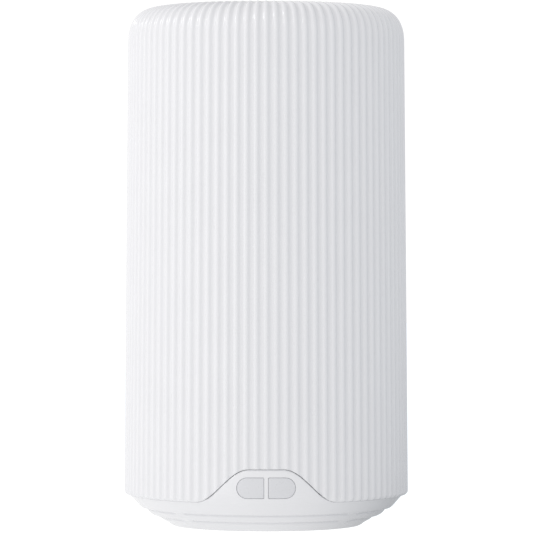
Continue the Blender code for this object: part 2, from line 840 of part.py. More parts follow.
def make_dc_jack(material):
    """The barrel inlet, with its bore and centre pin."""
    low = PORT_BOARD_TOP + GAP
    half = INLET_WIDTH / 2
    middle = low + INLET_HEIGHT / 2
    back = PORT_FACE - INLET_DEPTH
    jack = box("dc_jack", (INLET_X - half, back, low), (INLET_X + half, PORT_FACE, low + INLET_HEIGHT))
    bore_back = PORT_FACE - INLET_BORE_DEPTH
    bore_end = (INLET_X, PORT_FACE + 2.8, middle)
    cut(jack, cylinder("inlet_bore", INLET_BORE, (INLET_X, bore_back, middle), bore_end, 20))
    pin_start = (INLET_X, bore_back - 1.0, middle)
    join(jack, cylinder("inlet_pin", INLET_PIN, pin_start, (INLET_X, PORT_FACE - 0.8, middle), 10))
    return finish(jack, material)


def make_reset_button(button_material, switch_material):
    """The reset button passes through the port panel, with a flange behind it and its switch inside."""
    face = PORT_FACE - 0.2
    flange_front = PANEL_BACK - GAP
    back_end = (RESET_X, RESET_BACK, RESET_Z)
    button = cylinder("reset_button", RESET_RADIUS, back_end, (RESET_X, face, RESET_Z), 24)
    flange_start = (RESET_X, flange_front - 1.2, RESET_Z)
    flange_end = (RESET_X, flange_front, RESET_Z)
    join(button, cylinder("reset_flange", RESET_RADIUS + 0.9, flange_start, flange_end, 24))
    finish(button, button_material)
    switch_front = RESET_BACK - RESET_TRAVEL - GAP
    switch = box(
        "reset_switch",
        (RESET_X - 3.0, switch_front - 4.0, PORT_BOARD_TOP + GAP),
        (RESET_X + 3.0, switch_front, RESET_Z + 2.5),
    )
    finish(switch, switch_material)


# ---- Chassis, boards and heat sinks ----


def make_chassis_frame(material):
    """An upright plate between two rings, with a leg for each antenna and standoffs for the board."""
    chassis = box(
        "chassis_frame",
        (-CHASSIS_HALF_WIDTH, -CHASSIS_HALF_THICK, RING_LOW),
        (CHASSIS_HALF_WIDTH, CHASSIS_HALF_THICK, TOP_RING_LOW + 1.0),
    )
    for name, low, high in (("lower_window", 34.0, 74.0), ("upper_window", 86.0, 180.0)):
        cut(chassis, box(name, (-24.0, -5.0, low), (24.0, 5.0, high)))

    bottom_ring = flat_ring("bottom_ring", RING_OUTER, RING_INNER, RING_LOW, RING_TOP, 72)
    low = RING_LOW - 4.3
    high = RING_TOP + 3.5
    cut(
        bottom_ring,
        box("ring_front_cut", (-34.0, -60.0, low), (34.0, -30.0, high)),
        box("ring_back_cut", (-39.5, 24.0, low), (39.5, 60.0, high)),
    )
    top_ring = flat_ring("top_ring", TOP_RING_OUTER, TOP_RING_INNER, TOP_RING_LOW, TOP_RING_TOP, 48)
    join(chassis, bottom_ring, top_ring)

    leg_half = ANTENNA_LEG_THICK / 2
    leg_radius = ANTENNA_RADIUS + ANTENNA_THICK / 2 + GAP + leg_half
    leg_low = TOP_RING_LOW - ANTENNA_LENGTH - 4.0
    for i, angle in enumerate(ANTENNA_ANGLES, 1):
        leg = box(f"antenna_leg_{i}", (-leg_half, -8.0, leg_low), (leg_half, 8.0, TOP_RING_LOW + 0.9))
        turn_to(leg, leg_radius, angle)
        join(chassis, leg)
    for i, place in enumerate(board_screw_places(), 1):
        start = place - FORWARD * (BOARD_BACK + GAP)
        join(chassis, cylinder(f"standoff_{i}", STANDOFF_RADIUS, start, place, 12))
        bore_start = start + FORWARD
        bore_end = place - FORWARD * 3.0
        cut(chassis, cylinder(f"standoff_bore_{i}", SCREW_BORE_RADIUS, bore_start, bore_end, 8))
    for i, angle in enumerate(CHASSIS_SCREW_ANGLES, 1):
        place = polar(CHASSIS_SCREW_RING, angle)
        cut(chassis, cylinder(f"ring_hole_{i}", SCREW_BORE_RADIUS, place + UP * 20.0, place + UP * 30.0, 8))
    return finish(chassis, material)


def flat_ring(name, outer, inner, low, high, steps):
    profile = [(outer, high), (outer, low), (inner, low), (inner, high)]
    return turned(name, profile, steps, closed=True)


def turn_to(obj, radius, angle):
    """Moves an object that faces +X out to a radius and round to an angle, keeping its height."""
    height = obj.location.z
    obj.location = polar(radius, angle) * MM
    obj.location.z = height
    obj.rotation_euler = (0.0, 0.0, angle)


def board_screw_places():
    """Where the main board is screwed to the chassis, on the chassis's middle plane."""
    heights = (BOARD_LOW + 6.0, BOARD_TOP - 6.0)
    return [Vector((side * BOARD_SCREW_X, 0.0, z)) for z in heights for side in (-1, 1)]


def make_main_board(material, screw_material):
    board = box(
        "main_board",
        (-BOARD_HALF_WIDTH, BOARD_FRONT, BOARD_LOW),
        (BOARD_HALF_WIDTH, BOARD_BACK, BOARD_TOP),
    )
    for i, place in enumerate(board_screw_places(), 1):
        start = place - FORWARD * (BOARD_FRONT - 1.0)
        end = place - FORWARD * (BOARD_BACK + 1.0)
        cut(board, cylinder(f"board_hole_{i}", SCREW_BORE_RADIUS, start, end, 8))
        seat = place - FORWARD * (BOARD_FRONT - GAP)
        screw(f"board_screw_{i}", seat, -FORWARD, 5.5, screw_material)
    return finish(board, material)


def make_chips(chip_material, pad_material, shield_material):
    face = BOARD_FRONT - GAP
    soc_front = face - 1.5
    finish(box("soc_chip", (-9.0, soc_front, 120.0), (9.0, face, 138.0)), chip_material)
    finish(box("memory_chip", (12.0, face - 1.1, 122.0), (24.0, face, 136.0)), chip_material)
    pad_front = SINK_BASE_BACK + GAP
    finish(box("soc_thermal_pad", (-8.5, pad_front, 120.5), (8.5, soc_front - GAP, 137.5)), pad_material)
    for i, x in enumerate((-20.0, 20.0), 1):
        shield = box(f"radio_shield_{i}", (x - 13.0, face - 3.0, 46.0), (x + 13.0, face, 74.0))
        finish(shield, shield_material)


def make_heat_sink(name, back, forward, material):
    """A finned plate with its back face at the given y. Its fins stand upright for rising air."""
    front = back + forward * SINK_BASE_THICK
    low_y, high_y = sorted((back, front))
    sink = box(name, (-SINK_HALF_WIDTH, low_y, SINK_LOW), (SINK_HALF_WIDTH, high_y, SINK_TOP))
    pitch = (2 * SINK_HALF_WIDTH - FIN_THICK) / (SINK_FINS - 1)
    for i in range(SINK_FINS):
        x = -SINK_HALF_WIDTH + pitch * i
        low_y, high_y = sorted((front - forward, front + forward * FIN_DEPTH))
        join(sink, box(f"{name}_fin_{i + 1}", (x, low_y, SINK_LOW), (x + FIN_THICK, high_y, SINK_TOP)))
    return finish(sink, material)


def make_antennas(material, cable_material):
    """Four flat antennas on the chassis legs, each with a thin coaxial cable to the main board."""
    high = TOP_RING_LOW - GAP
    half = ANTENNA_WIDTH / 2
    thick = ANTENNA_THICK / 2
    for i, angle in enumerate(ANTENNA_ANGLES, 1):
        antenna = box(f"antenna_{i}", (-thick, -half, high - ANTENNA_LENGTH), (thick, half, high))
        turn_to(antenna, ANTENNA_RADIUS, angle)
        finish(antenna, material)

    front_route = [(32.6, -32.6, 152), (37.5, -28, 125), (40.5, -17, 98), (38.5, -9, 82), (36, -6, 77)]
    rear_route = [(32.6, 32.6, 152), (38, 29, 125), (47.5, 11, 103), (48, -4, 95)]
    rear_route += [(41.5, -8.5, 91), (36, -6, 89)]
    for first, route in ((1, front_route), (3, rear_route)):
        for i, side in enumerate((-1, 1), first):
            cable = tube(f"antenna_cable_{i}", [(side * x, y, z) for x, y, z in route], ANTENNA_CABLE_RADIUS)
            finish(cable, cable_material)


def make_ribbon(name, route, half_width, material):
    """A flat ribbon cable: its side view in Y and Z, given its width in X."""
    ribbon = extruded(name, ribbon_outline(route, RIBBON_THICK), -half_width, half_width)
    side_view_to_world = Matrix(((0, 0, 1, 0), (1, 0, 0, 0), (0, 1, 0, 0), (0, 0, 0, 1)))
    ribbon.matrix_world = side_view_to_world @ ribbon.matrix_world
    return finish(ribbon, material)


def ribbon_outline(route, thick):
    """A thin band along a side-view route of (y, z) points."""
    left = []
    right = []
    for i, (y, z) in enumerate(route):
        before = Vector(route[max(i - 1, 0)])
        after = Vector(route[min(i + 1, len(route) - 1)])
        along = (after - before).normalized()
        left.append((y - along.y * thick / 2, z + along.x * thick / 2))
        right.append((y + along.y * thick / 2, z - along.x * thick / 2))
    return left + list(reversed(right))


def make_ribbons(material):
    """One ribbon from each small board up to the main board."""
    key_route = [(-40.2, 14.5), (-37.0, 14.5), (-33.0, 16.5), (-24.0, 26.0)]
    key_route += [(-12.0, 36.0), (-7.0, 39.0), (-5.0, 40.0)]
    make_ribbon("key_ribbon", key_route, 5.0, material)
    port_route = [(18.0, 14.6), (14.0, 15.5), (9.0, 20.0), (5.0, 32.0), (3.0, 40.0), (-2.6, 46.0)]
    make_ribbon("port_ribbon", port_route, 8.0, material)


# ---- Assembly ----

clear_scene()
PARTS = new_collection("mesh_wifi_node")
CUTTERS = new_collection("cutters")

white = new_material("white_plastic", (0.80, 0.81, 0.83), 0.42)
frosted = new_material("frosted_key_plastic", (0.62, 0.63, 0.66), 0.35)
grey = new_material("grey_inner_plastic", (0.30, 0.31, 0.33), 0.55)
black = new_material("black_plastic", (0.03, 0.03, 0.035), 0.5)
rubber = new_material("grey_rubber", (0.16, 0.16, 0.17), 0.85)
circuit = new_material("circuit_board", (0.02, 0.16, 0.08), 0.45)
chip = new_material("chip_resin", (0.02, 0.02, 0.022), 0.4)
pad = new_material("thermal_pad", (0.45, 0.55, 0.62), 0.8)
aluminium = new_material("aluminium", (0.70, 0.71, 0.73), 0.35, 1.0)
steel = new_material("plated_steel", (0.60, 0.61, 0.62), 0.3, 1.0)
lens = new_material("led_lens", (0.85, 0.87, 0.80), 0.2)
ribbon = new_material("ribbon_film", (0.75, 0.76, 0.80), 0.4)

make_outer_shell(white)
make_top_cap(white)
make_base_housing(white)
make_base_plate(grey)
make_foot_ring(rubber)

for key_side, side_name in SIDES:
    make_key(key_side, f"{side_name}_key", frosted)
    make_key_switch(key_side, f"{side_name}_key", black, grey)
make_key_board(circuit, lens, steel)

make_port_panel(grey)
make_port_board(circuit, steel)
for jack_number, jack_x in enumerate(JACK_X, 1):
    make_ethernet_jack(f"ethernet_jack_{jack_number}", jack_x, black)
make_dc_jack(black)
make_reset_button(grey, black)

make_chassis_frame(grey)
make_main_board(circuit, steel)
make_chips(chip, pad, steel)
make_heat_sink("heat_sink_front", SINK_BASE_BACK, -1, aluminium)
make_heat_sink("heat_sink_rear", CHASSIS_HALF_THICK + GAP, 1, aluminium)
make_antennas(circuit, black)
make_ribbons(ribbon)

for screw_number, screw_angle in enumerate(CHASSIS_SCREW_ANGLES, 1):
    chassis_seat = polar(CHASSIS_SCREW_RING, screw_angle, RING_TOP + GAP)
    screw(f"chassis_screw_{screw_number}", chassis_seat, -UP, 9.0, steel)
for screw_number, screw_place in enumerate(base_screw_places(), 1):
    screw(f"base_screw_{screw_number}", screw_place + UP * BASE_SCREW_SEAT, UP, 5.5, steel)
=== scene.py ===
"""The looks of the mesh wifi node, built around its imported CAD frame.

Dimensions are in millimetres and angles in radians, except that the lights and the camera are in metres.
+Z is up and the front faces -Y. Every part that shows from outside is rebuilt here as a fine mesh of the
same size as its CAD part, apart from the base plate and its screws. Those and the parts inside keep their
CAD shapes and get materials.
"""

import json
import math

import bmesh
import bpy
import numpy as np
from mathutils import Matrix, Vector


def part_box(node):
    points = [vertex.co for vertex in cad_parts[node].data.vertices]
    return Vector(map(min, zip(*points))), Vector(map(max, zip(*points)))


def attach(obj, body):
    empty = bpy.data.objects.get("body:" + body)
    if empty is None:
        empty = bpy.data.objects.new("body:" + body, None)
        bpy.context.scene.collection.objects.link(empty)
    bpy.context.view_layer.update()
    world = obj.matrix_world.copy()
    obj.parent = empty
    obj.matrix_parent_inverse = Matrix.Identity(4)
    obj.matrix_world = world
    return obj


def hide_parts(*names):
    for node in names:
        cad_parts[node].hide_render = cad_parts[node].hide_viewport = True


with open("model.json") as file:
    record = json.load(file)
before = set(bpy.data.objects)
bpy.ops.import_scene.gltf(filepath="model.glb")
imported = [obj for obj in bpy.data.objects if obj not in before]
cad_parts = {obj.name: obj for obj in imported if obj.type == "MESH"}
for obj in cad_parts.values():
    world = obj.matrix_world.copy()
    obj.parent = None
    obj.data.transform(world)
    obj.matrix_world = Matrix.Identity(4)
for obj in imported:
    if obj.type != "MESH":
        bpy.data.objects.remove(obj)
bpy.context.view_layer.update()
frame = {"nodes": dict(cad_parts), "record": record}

MM = 0.001
CLEAN_DISTANCE = 0.001 * MM

# Edges that turn by more than this many degrees stay sharp
SHARP_ANGLE = 35.0
RIB_SHARP_ANGLE = 60.0

# Shell: a drafted tube with ribs and a rounded shoulder
SHELL_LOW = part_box("outer_shell")[0].z / MM
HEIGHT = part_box("outer_shell")[1].z / MM
SHELL_RADIUS = 60.0
SHELL_WALL = 3.0
DRAFT = math.tan(math.radians(0.47))
RIB_COUNT = 90
RIB_DEPTH = 0.9
RIB_SQUARENESS = 1.6
COLUMNS_PER_RIB = 12
SHOULDER_IN = 14.0
SHOULDER_UP = 15.5
SHOULDER_POWER = 2.5
RIM_HOLE_RADIUS = 41.0
RIM_ROUND = 0.7
RIB_START = RIM_HOLE_RADIUS + 1.4
RIB_FADE_IN = 3.0

# The round on the shell's lower edge, as far in and up: first on the plain rim, then in the waves
LIP_IN = (1.9, 0.5)
LIP_UP = (1.5, 0.5)
WAVE_LIP_RISE = 2.5

# Waves in the shell's lower edge: rise, half the flat top, half the foot
FRONT_WAVE = (13.9, 7.3, 30.0)
HOOD_WAVE = (24.5, 30.0, 47.0)

# The seam under the shell: on the plain rim, over the waves' flat tops and down their flanks
SEAM_NARROW = 0.03
SEAM_FLAT = 0.05
SEAM_WIDE = 0.1

# Base: a bowl, a face that swells out of it to lie flush with the ribs, and a neck inside the shell
FLUSH_RADIUS = 59.6
BOWL_RIM_RADIUS = 57.3
BOWL_RIM_Z = 12.4
FACE_SWELL_HEIGHT = 6.1
FACE_SWELL_POWER = 2.2
FACE_EDGE = 0.15
WAVE_FACE_EDGE = 1.05
WAVE_EDGE_RISE = 4.0
NECK_RADIUS = 56.4
NECK_THICK = 2.2
NECK_HEIGHT = 4.0
SLOT_HALF_SPAN = math.radians(42)
SLOT_END_BLEND = math.radians(0.7)
HOUSING_COLUMNS = 1080

# Screw bosses in the base: each one's radius and place, and how far it and its bore reach along it
SCREW_BORE = 1.25
KEY_BOSS_RADIUS = 2.6
KEY_BOSS_X = 16.5
KEY_BOSS_FRONT = -54.0
KEY_BOSS_BORE = (-50.5, -40.0)
PORT_BOSS_RADIUS = 3.0
PORT_BOSS_X = 22.0
PORT_BOSS_Y = 22.0
PORT_BOSS_REACH = (4.0, 12.1)
PORT_BOSS_BORE = (6.5, 14.0)
CHASSIS_BOSS_RADIUS = 3.6
CHASSIS_BOSS_RING = 51.5
CHASSIS_BOSS_DEGREES = (35, 145, 215, 325)
CHASSIS_BOSS_REACH = (10.8, 24.0)
CHASSIS_BOSS_BORE = (15.0, 27.0)
PLATE_BOSSES = 4
PLATE_BOSS_RADIUS = 3.2
PLATE_BOSS_RING = 27.5
PLATE_BOSS_REACH = (4.0, 10.0)
PLATE_BOSS_BORE = (2.0, 8.5)

# Keys
KEY_Z = 19.3
KEY_HALF_HEIGHT = 4.3
KEY_OUTER = 12.05
KEY_BAR_HALF = 0.85
KEY_GAP = 0.045
KEY_CORNER = 0.5
KEY_CORNER_LEAST = 0.15
KEY_SINK = 0.08
KEY_BACK = -51.9
KEY_HOLE_BACK = -50.0

# Rounded edges, as (how far the outline grows or shrinks, depth below the face)
KEY_HOLE_EDGE = ((0.0, 0.34), (0.04, 0.16), (0.11, 0.05), (0.22, -0.03), (0.24, -2.0))
KEY_EDGE = ((0.0, 0.45), (0.04, 0.24), (0.13, 0.09), (0.28, 0.01), (0.45, 0.0))
KEY_FACE_SHARES = (0.85, 0.65, 0.45, 0.25, 0.1)

# The flange that holds a key behind the tongue, and the stem on it that meets the plunger
FLANGE_INNER = 0.45
FLANGE_OUTER = 13.2
FLANGE_HALF_HEIGHT = 5.1
FLANGE_CORNER = 0.8
FLANGE_FRONT = -52.2
FLANGE_BACK = -51.0
STEM_X = 6.4
STEM_Z = 17.5
STEM_PROFILE = ((1.5, -51.3), (1.5, -47.5), (1.2, -47.2))

# Top cap: a dished disc on legs. The dish is given as (radius, depth).
CAP_RADIUS = 37.5
CAP_THICK = 1.8
CAP_EDGE = 0.8
CAP_UNDER_EDGE = 0.2
CAP_DISH = ((0.5, 0.25), (12.0, 0.22), (24.0, 0.13), (33.0, 0.03))
CAP_LEGS = 4
CAP_LEG_RADIUS = 2.2
CAP_LEG_RING = 32.0
CAP_LEG_FOOT = 202.3

# Foot
FOOT_OUTER = 37.2
FOOT_INNER = 31.0
FOOT_EDGE = 0.3

# Port bay
BAY_HALF_WIDTH = 31.0
BAY_LOW = 13.6
BAY_TOP = 33.5
BAY_CORNER = 2.0
BAY_BACK = 44.2
BAY_SIDE_STEPS = 24
BAY_WALL = 2.4
BAY_EDGE = ((0.0, 0.7), (0.06, 0.4), (0.2, 0.15), (0.45, -0.02), (0.5, -6.0))

# Port panel, jacks and reset button
GAP = 0.3
JACK_GAP = 2 * GAP
PANEL_EDGE = 0.3
PANEL_FLARE = 0.25
PANEL_OPENING_CORNER = 0.7
PAST_SURFACE = 1.0
SOCKET_WIDTH = 11.9
SOCKET_HEIGHT = 7.0
SOCKET_DEPTH = 14.0
SOCKET_SILL = 2.2
LATCH_WIDTH = 6.0
LATCH_HEIGHT = 1.9
LATCH_SLOT_WIDTH = 3.2
LATCH_SLOT_HEIGHT = 0.8
CONTACTS = 8
CONTACT_PITCH = 1.02
CONTACT_HALF_WIDTH = 0.2
CONTACT_THICK = 0.28
INLET_BORE = 3.15
INLET_BORE_DEPTH = 10.0
INLET_PIN = 1.0
INLET_PIN_SINK = 0.8
INLET_PIN_ROUND = 0.6
RESET_RADIUS = 2.2
RESET_FLANGE_OUT = 0.9
RESET_FLANGE_THICK = 1.2
RESET_EDGE = 0.35
RESET_DISH = ((1.3, 0.08), (0.7, 0.16), (0.2, 0.19))


# ---- Mesh helpers ----


def add_mesh(name, points, faces, sharp_angle=SHARP_ANGLE):
    """A mesh piece from points in millimetres."""
    mesh = bpy.data.meshes.new(name)
    mesh.from_pydata([tuple(point) for point in np.asarray(points) * MM], [], faces)
    mesh.validate()
    obj = bpy.data.objects.new(name, mesh)
    bpy.context.scene.collection.objects.link(obj)
    shade(obj, sharp_angle)
    return obj


def shade(obj, sharp_angle=SHARP_ANGLE):
    obj.data.shade_smooth()
    obj.data.set_sharp_from_angle(angle=math.radians(sharp_angle))


def ring_points(angles, radii, heights):
    """Points at each angle, with a radius and a height for each."""
    return np.stack([radii * np.cos(angles), radii * np.sin(angles), heights + 0 * radii], axis=1)


def on_ring(radius, angle):
    """A place on the ground at a radius and an angle round Z."""
    return (radius * math.cos(angle), radius * math.sin(angle), 0.0)


def ring_grid(name, rings, sharp_angle=SHARP_ANGLE):
    """A closed loop of rings, each the same number of points, which run down the outer side."""
    count = len(rings[0])
    faces = []
    for i in range(len(rings)):
        here = i * count
        below = (i + 1) % len(rings) * count
        for j in range(count):
            beside = (j + 1) % count
            faces.append((here + j, below + j, below + beside, here + beside))
    return add_mesh(name, np.concatenate(rings), faces, sharp_angle)


def turned(name, profile, steps=192):
    """A closed profile of (radius, height) points turned about Z, down its outer side."""
    angles = np.linspace(0, 2 * math.pi, steps, endpoint=False)
    ones = np.ones(steps)
    return ring_grid(name, [ring_points(angles, r * ones, z * ones) for r, z in profile])


def boolean(target, cutter, operation):
    """Applies a Boolean to the target's mesh and removes the other piece."""
    modifier = target.modifiers.new(operation, "BOOLEAN")
    modifier.object = cutter
    modifier.operation = operation
    modifier.solver = "EXACT"
    bpy.context.view_layer.update()
    evaluated = target.evaluated_get(bpy.context.evaluated_depsgraph_get())
    mesh = bpy.data.meshes.new_from_object(evaluated)
    target.modifiers.clear()
    old = target.data
    target.data = mesh
    bpy.data.meshes.remove(old)
    bpy.data.objects.remove(cutter, do_unlink=True)


def face_island(start, seen):
    """The faces joined to one face over edges that two faces share, which are added to those seen."""
    island = [start]
    seen.add(start)
    for face in island:
        for edge in face.edges:
            for other in edge.link_faces:
                if len(edge.link_faces) == 2 and other not in seen:
                    seen.add(other)
                    island.append(other)
    return island


def clean(obj):
    """Merges points that almost meet, splits many-sided faces, and drops flaps that enclose nothing."""
    shape = bmesh.new()
    shape.from_mesh(obj.data)
    bmesh.ops.remove_doubles(shape, verts=shape.verts, dist=CLEAN_DISTANCE)
    bmesh.ops.dissolve_degenerate(shape, edges=shape.edges, dist=CLEAN_DISTANCE)
    many_sided = [face for face in shape.faces if len(face.verts) > 4]
    bmesh.ops.triangulate(shape, faces=many_sided, ngon_method="BEAUTY")
    bmesh.ops.dissolve_degenerate(shape, edges=shape.edges, dist=CLEAN_DISTANCE)
    seen = set()
    islands = [face_island(face, seen) for face in shape.faces if face not in seen]
    flaps = [face for island in islands if len(island) < 4 for face in island]
    bmesh.ops.delete(shape, geom=flaps, context="FACES")
    shape.to_mesh(obj.data)
    shape.free()


def arc(centre, radius, start, end, steps):
    angles = [start + (end - start) * i / steps for i in range(steps + 1)]
    return [(centre[0] + radius * math.cos(a), centre[1] + radius * math.sin(a)) for a in angles]


def smooth_step(low, high, value):
    share = np.clip((value - low) / (high - low), 0.0, 1.0)
    return share * share * (3 - 2 * share)


def stack(name, rings):
    """A solid from rings of (x, y, z) points, the first and last closed by fans to their centres."""
    count = len(rings[0])
    points = list(np.concatenate([np.asarray(ring) for ring in rings]))
    faces = []
    for i in range(len(rings) - 1):
        for j in range(count):
            beside = (j + 1) % count
            here = i * count
            above = (i + 1) * count
            faces.append((here + j, here + beside, above + beside, above + j))
    first = len(points)
    points.append(np.mean(rings[0], axis=0))
    points.append(np.mean(rings[-1], axis=0))
    last_ring = (len(rings) - 1) * count
    for j in range(count):
        beside = (j + 1) % count
        faces.append((first, beside, j))
        faces.append((first + 1, last_ring + j, last_ring + beside))
    obj = add_mesh(name, points, faces)
    shape = bmesh.new()
    shape.from_mesh(obj.data)
    bmesh.ops.recalc_face_normals(shape, faces=shape.faces)
    shape.to_mesh(obj.data)
    shape.free()
    return obj


def round_solid(name, profile, steps, place=(0.0, 0.0, 0.0), along="Z"):
    """A solid from (radius, distance) points along an axis through a place, closed at both ends."""
    turns = [2 * math.pi * i / steps for i in range(steps)]
    rings = []
    for radius, distance in profile:
        circle = [(radius * math.cos(turn), radius * math.sin(turn)) for turn in turns]
        if along == "Z":
            rings.append([(place[0] + u, place[1] + v, place[2] + distance) for u, v in circle])
        else:
            rings.append([(place[0] + u, place[1] + distance, place[2] + v) for u, v in circle])
    return stack(name, rings)


def rounded_outline(middle, half, low, high, corner, side_steps=1):
    """A rounded rectangle of (x, z) points, with side_steps spans along its top and its bottom."""
    right = middle + half - corner
    left = middle - half + corner
    across = [right + (left - right) * i / side_steps for i in range(1, side_steps)]
    outline = arc((right, high - corner), corner, 0.0, math.pi / 2, 5)
    outline += [(x, high) for x in across]
    outline += arc((left, high - corner), corner, math.pi / 2, math.pi, 5)
    outline += arc((left, low + corner), corner, math.pi, 3 * math.pi / 2, 5)
    outline += [(x, low) for x in reversed(across)]
    outline += arc((right, low + corner), corner, -math.pi / 2, 0.0, 5)
    return outline


def along_y(name, levels):
    """A solid through (y, outline) levels, each outline a list of as many (x, z) points."""
    return stack(name, [[(x, y, z) for x, z in outline] for y, outline in levels])


def merged(name, pieces):
    """Several separate solids as one mesh."""
    shape = bmesh.new()
    for piece in pieces:
        shape.from_mesh(piece.data)
        bpy.data.objects.remove(piece, do_unlink=True)
    mesh = bpy.data.meshes.new(name)
    shape.to_mesh(mesh)
    shape.free()
    obj = bpy.data.objects.new(name, mesh)
    bpy.context.scene.collection.objects.link(obj)
    return obj


# ---- Profiles that the shell and the housing share ----


def shell_radius(height):
    """Radius over the ribs at a height on the drafted wall."""
    return SHELL_RADIUS - (height - SHELL_LOW) * DRAFT


def wave_rise(wave, across):
    rise, flat, foot = wave
    share = np.clip((np.abs(across) - flat) / (foot - flat), 0.0, 1.0)
    return rise * (1 + np.cos(math.pi * share)) / 2


def wave_slope(wave, across):
    rise, flat, foot = wave
    share = np.clip((np.abs(across) - flat) / (foot - flat), 0.0, 1.0)
    return rise * math.pi / 2 / (foot - flat) * np.sin(math.pi * share)


def edge_rise(angles):
    """How far the shell's lower edge rises at each angle, and the slope of its edge there."""
    across = SHELL_RADIUS * np.cos(angles)
    front = np.sin(angles) < 0
    rise = np.where(front, wave_rise(FRONT_WAVE, across), wave_rise(HOOD_WAVE, across))
    slope = np.where(front, wave_slope(FRONT_WAVE, across), wave_slope(HOOD_WAVE, across))
    return rise, slope


def seam_drop(angles):
    """How far below the shell's edge the housing starts: widest down the waves' upper flanks."""
    rise, slope = edge_rise(angles)
    across = np.abs(SHELL_RADIUS * np.cos(angles))
    flat = np.where(np.sin(angles) < 0, FRONT_WAVE[1], HOOD_WAVE[1])
    width = SEAM_FLAT + (SEAM_WIDE - SEAM_FLAT) * smooth_step(flat - 2.5, flat + 1.5, across)
    return SEAM_NARROW + (width * np.sqrt(1 + slope**2) - SEAM_NARROW) * smooth_step(2.5, 7.0, rise)


def rib_valley(angles):
    """0 on a rib's ridge and 1 in a valley, with a ridge at the front centre."""
    wave = np.cos((angles + math.pi / 2) * RIB_COUNT)
    return 0.5 - 0.5 * np.tanh(RIB_SQUARENESS * wave) / math.tanh(RIB_SQUARENESS)


# ---- Outer shell ----


def shoulder_rows(steps, inset):
    """(radius, height, outward normal) down the shoulder, a quarter of a superellipse."""
    start_height = HEIGHT - SHOULDER_UP
    corner = shell_radius(start_height) - SHOULDER_IN
    wide = SHOULDER_IN - inset
    high = SHOULDER_UP - inset
    rows = []
    for i in range(steps + 1):
        angle = math.pi / 2 * i / steps
        out = math.sin(angle) ** (2 / SHOULDER_POWER)
        up = math.cos(angle) ** (2 / SHOULDER_POWER)
        normal = Vector((out ** (SHOULDER_POWER - 1) / wide, up ** (SHOULDER_POWER - 1) / high))
        rows.append((corner + wide * out, start_height + high * up, normal.normalized()))
    return rows


def make_shell():
    count = RIB_COUNT * COLUMNS_PER_RIB
    angles = np.linspace(0, 2 * math.pi, count, endpoint=False)
    ones = np.ones(count)
    valley = rib_valley(angles)
    rings = []

    def plain(radius, height):
        rings.append(ring_points(angles, radius * ones, height * ones))

    plain(RIM_HOLE_RADIUS, HEIGHT - SHELL_WALL)
    plain(RIM_HOLE_RADIUS, HEIGHT - 2 * RIM_ROUND)
    rim_centre = (RIM_HOLE_RADIUS + RIM_ROUND, HEIGHT - RIM_ROUND)
    for radius, height in arc(rim_centre, RIM_ROUND, math.pi, math.pi / 2, 4):
        plain(radius, height)
    plain(RIB_START, HEIGHT)

    shoulder = shoulder_rows(28, 0.0)
    first_radius = shoulder[0][0]
    middle = (RIB_START + first_radius) / 2
    shoulder.insert(0, (middle, HEIGHT, Vector((0.0, 1.0))))
    for radius, height, normal in shoulder:
        depth = RIB_DEPTH * valley * smooth_step(RIB_START, RIB_START + RIB_FADE_IN, radius)
        rings.append(ring_points(angles, radius - depth * normal.x, height - depth * normal.y))

    rise, _ = edge_rise(angles)
    low = SHELL_LOW + rise
    near_wave = smooth_step(0.0, WAVE_LIP_RISE, rise)
    lip_in = LIP_IN[0] + (LIP_IN[1] - LIP_IN[0]) * near_wave
    lip_up = LIP_UP[0] + (LIP_UP[1] - LIP_UP[0]) * near_wave
    wall_top = HEIGHT - SHOULDER_UP
    for share in np.linspace(0, 1, 15)[1:]:
        height = wall_top + (low + lip_up - wall_top) * share
        rings.append(ring_points(angles, shell_radius(height) - RIB_DEPTH * valley, height))
    for angle in np.linspace(0, math.pi / 2, 8)[1:]:
        fade = math.cos(angle) ** 0.7
        height = low + lip_up * (1 - math.sin(angle))
        radius = shell_radius(low) - lip_in * (1 - math.cos(angle)) - RIB_DEPTH * valley * fade
        rings.append(ring_points(angles, radius, height))

    inner = SHELL_RADIUS - SHELL_WALL
    rings.append(ring_points(angles, (inner + 0.3) * ones, low))
    rings.append(ring_points(angles, inner * ones, low + 0.3))
    plain(inner - 0.4, 60.0)
    for radius, height, _ in reversed(shoulder_rows(6, SHELL_WALL)):
        plain(radius, height)
    return ring_grid("shell_sleeve", rings, RIB_SHARP_ANGLE)


# ---- Base housing ----


def face_radius(height):
    """Radius of the tongue's and hood's face: flush with the ribs, and swelling out of the bowl."""
    share = np.clip((height - BOWL_RIM_Z) / FACE_SWELL_HEIGHT, 0.0, 1.0)
    swell = 1 - (1 - share) ** FACE_SWELL_POWER
    return BOWL_RIM_RADIUS + (FLUSH_RADIUS - BOWL_RIM_RADIUS) * swell


def slot_weight(angles):
    """1 along the arc slots and 0 on the bridges between them."""
    quarter = math.pi / 2
    from_middle = np.abs((angles + quarter / 2) % quarter - quarter / 2)
    return 1.0 - smooth_step(SLOT_HALF_SPAN - SLOT_END_BLEND, SLOT_HALF_SPAN + SLOT_END_BLEND, from_middle)


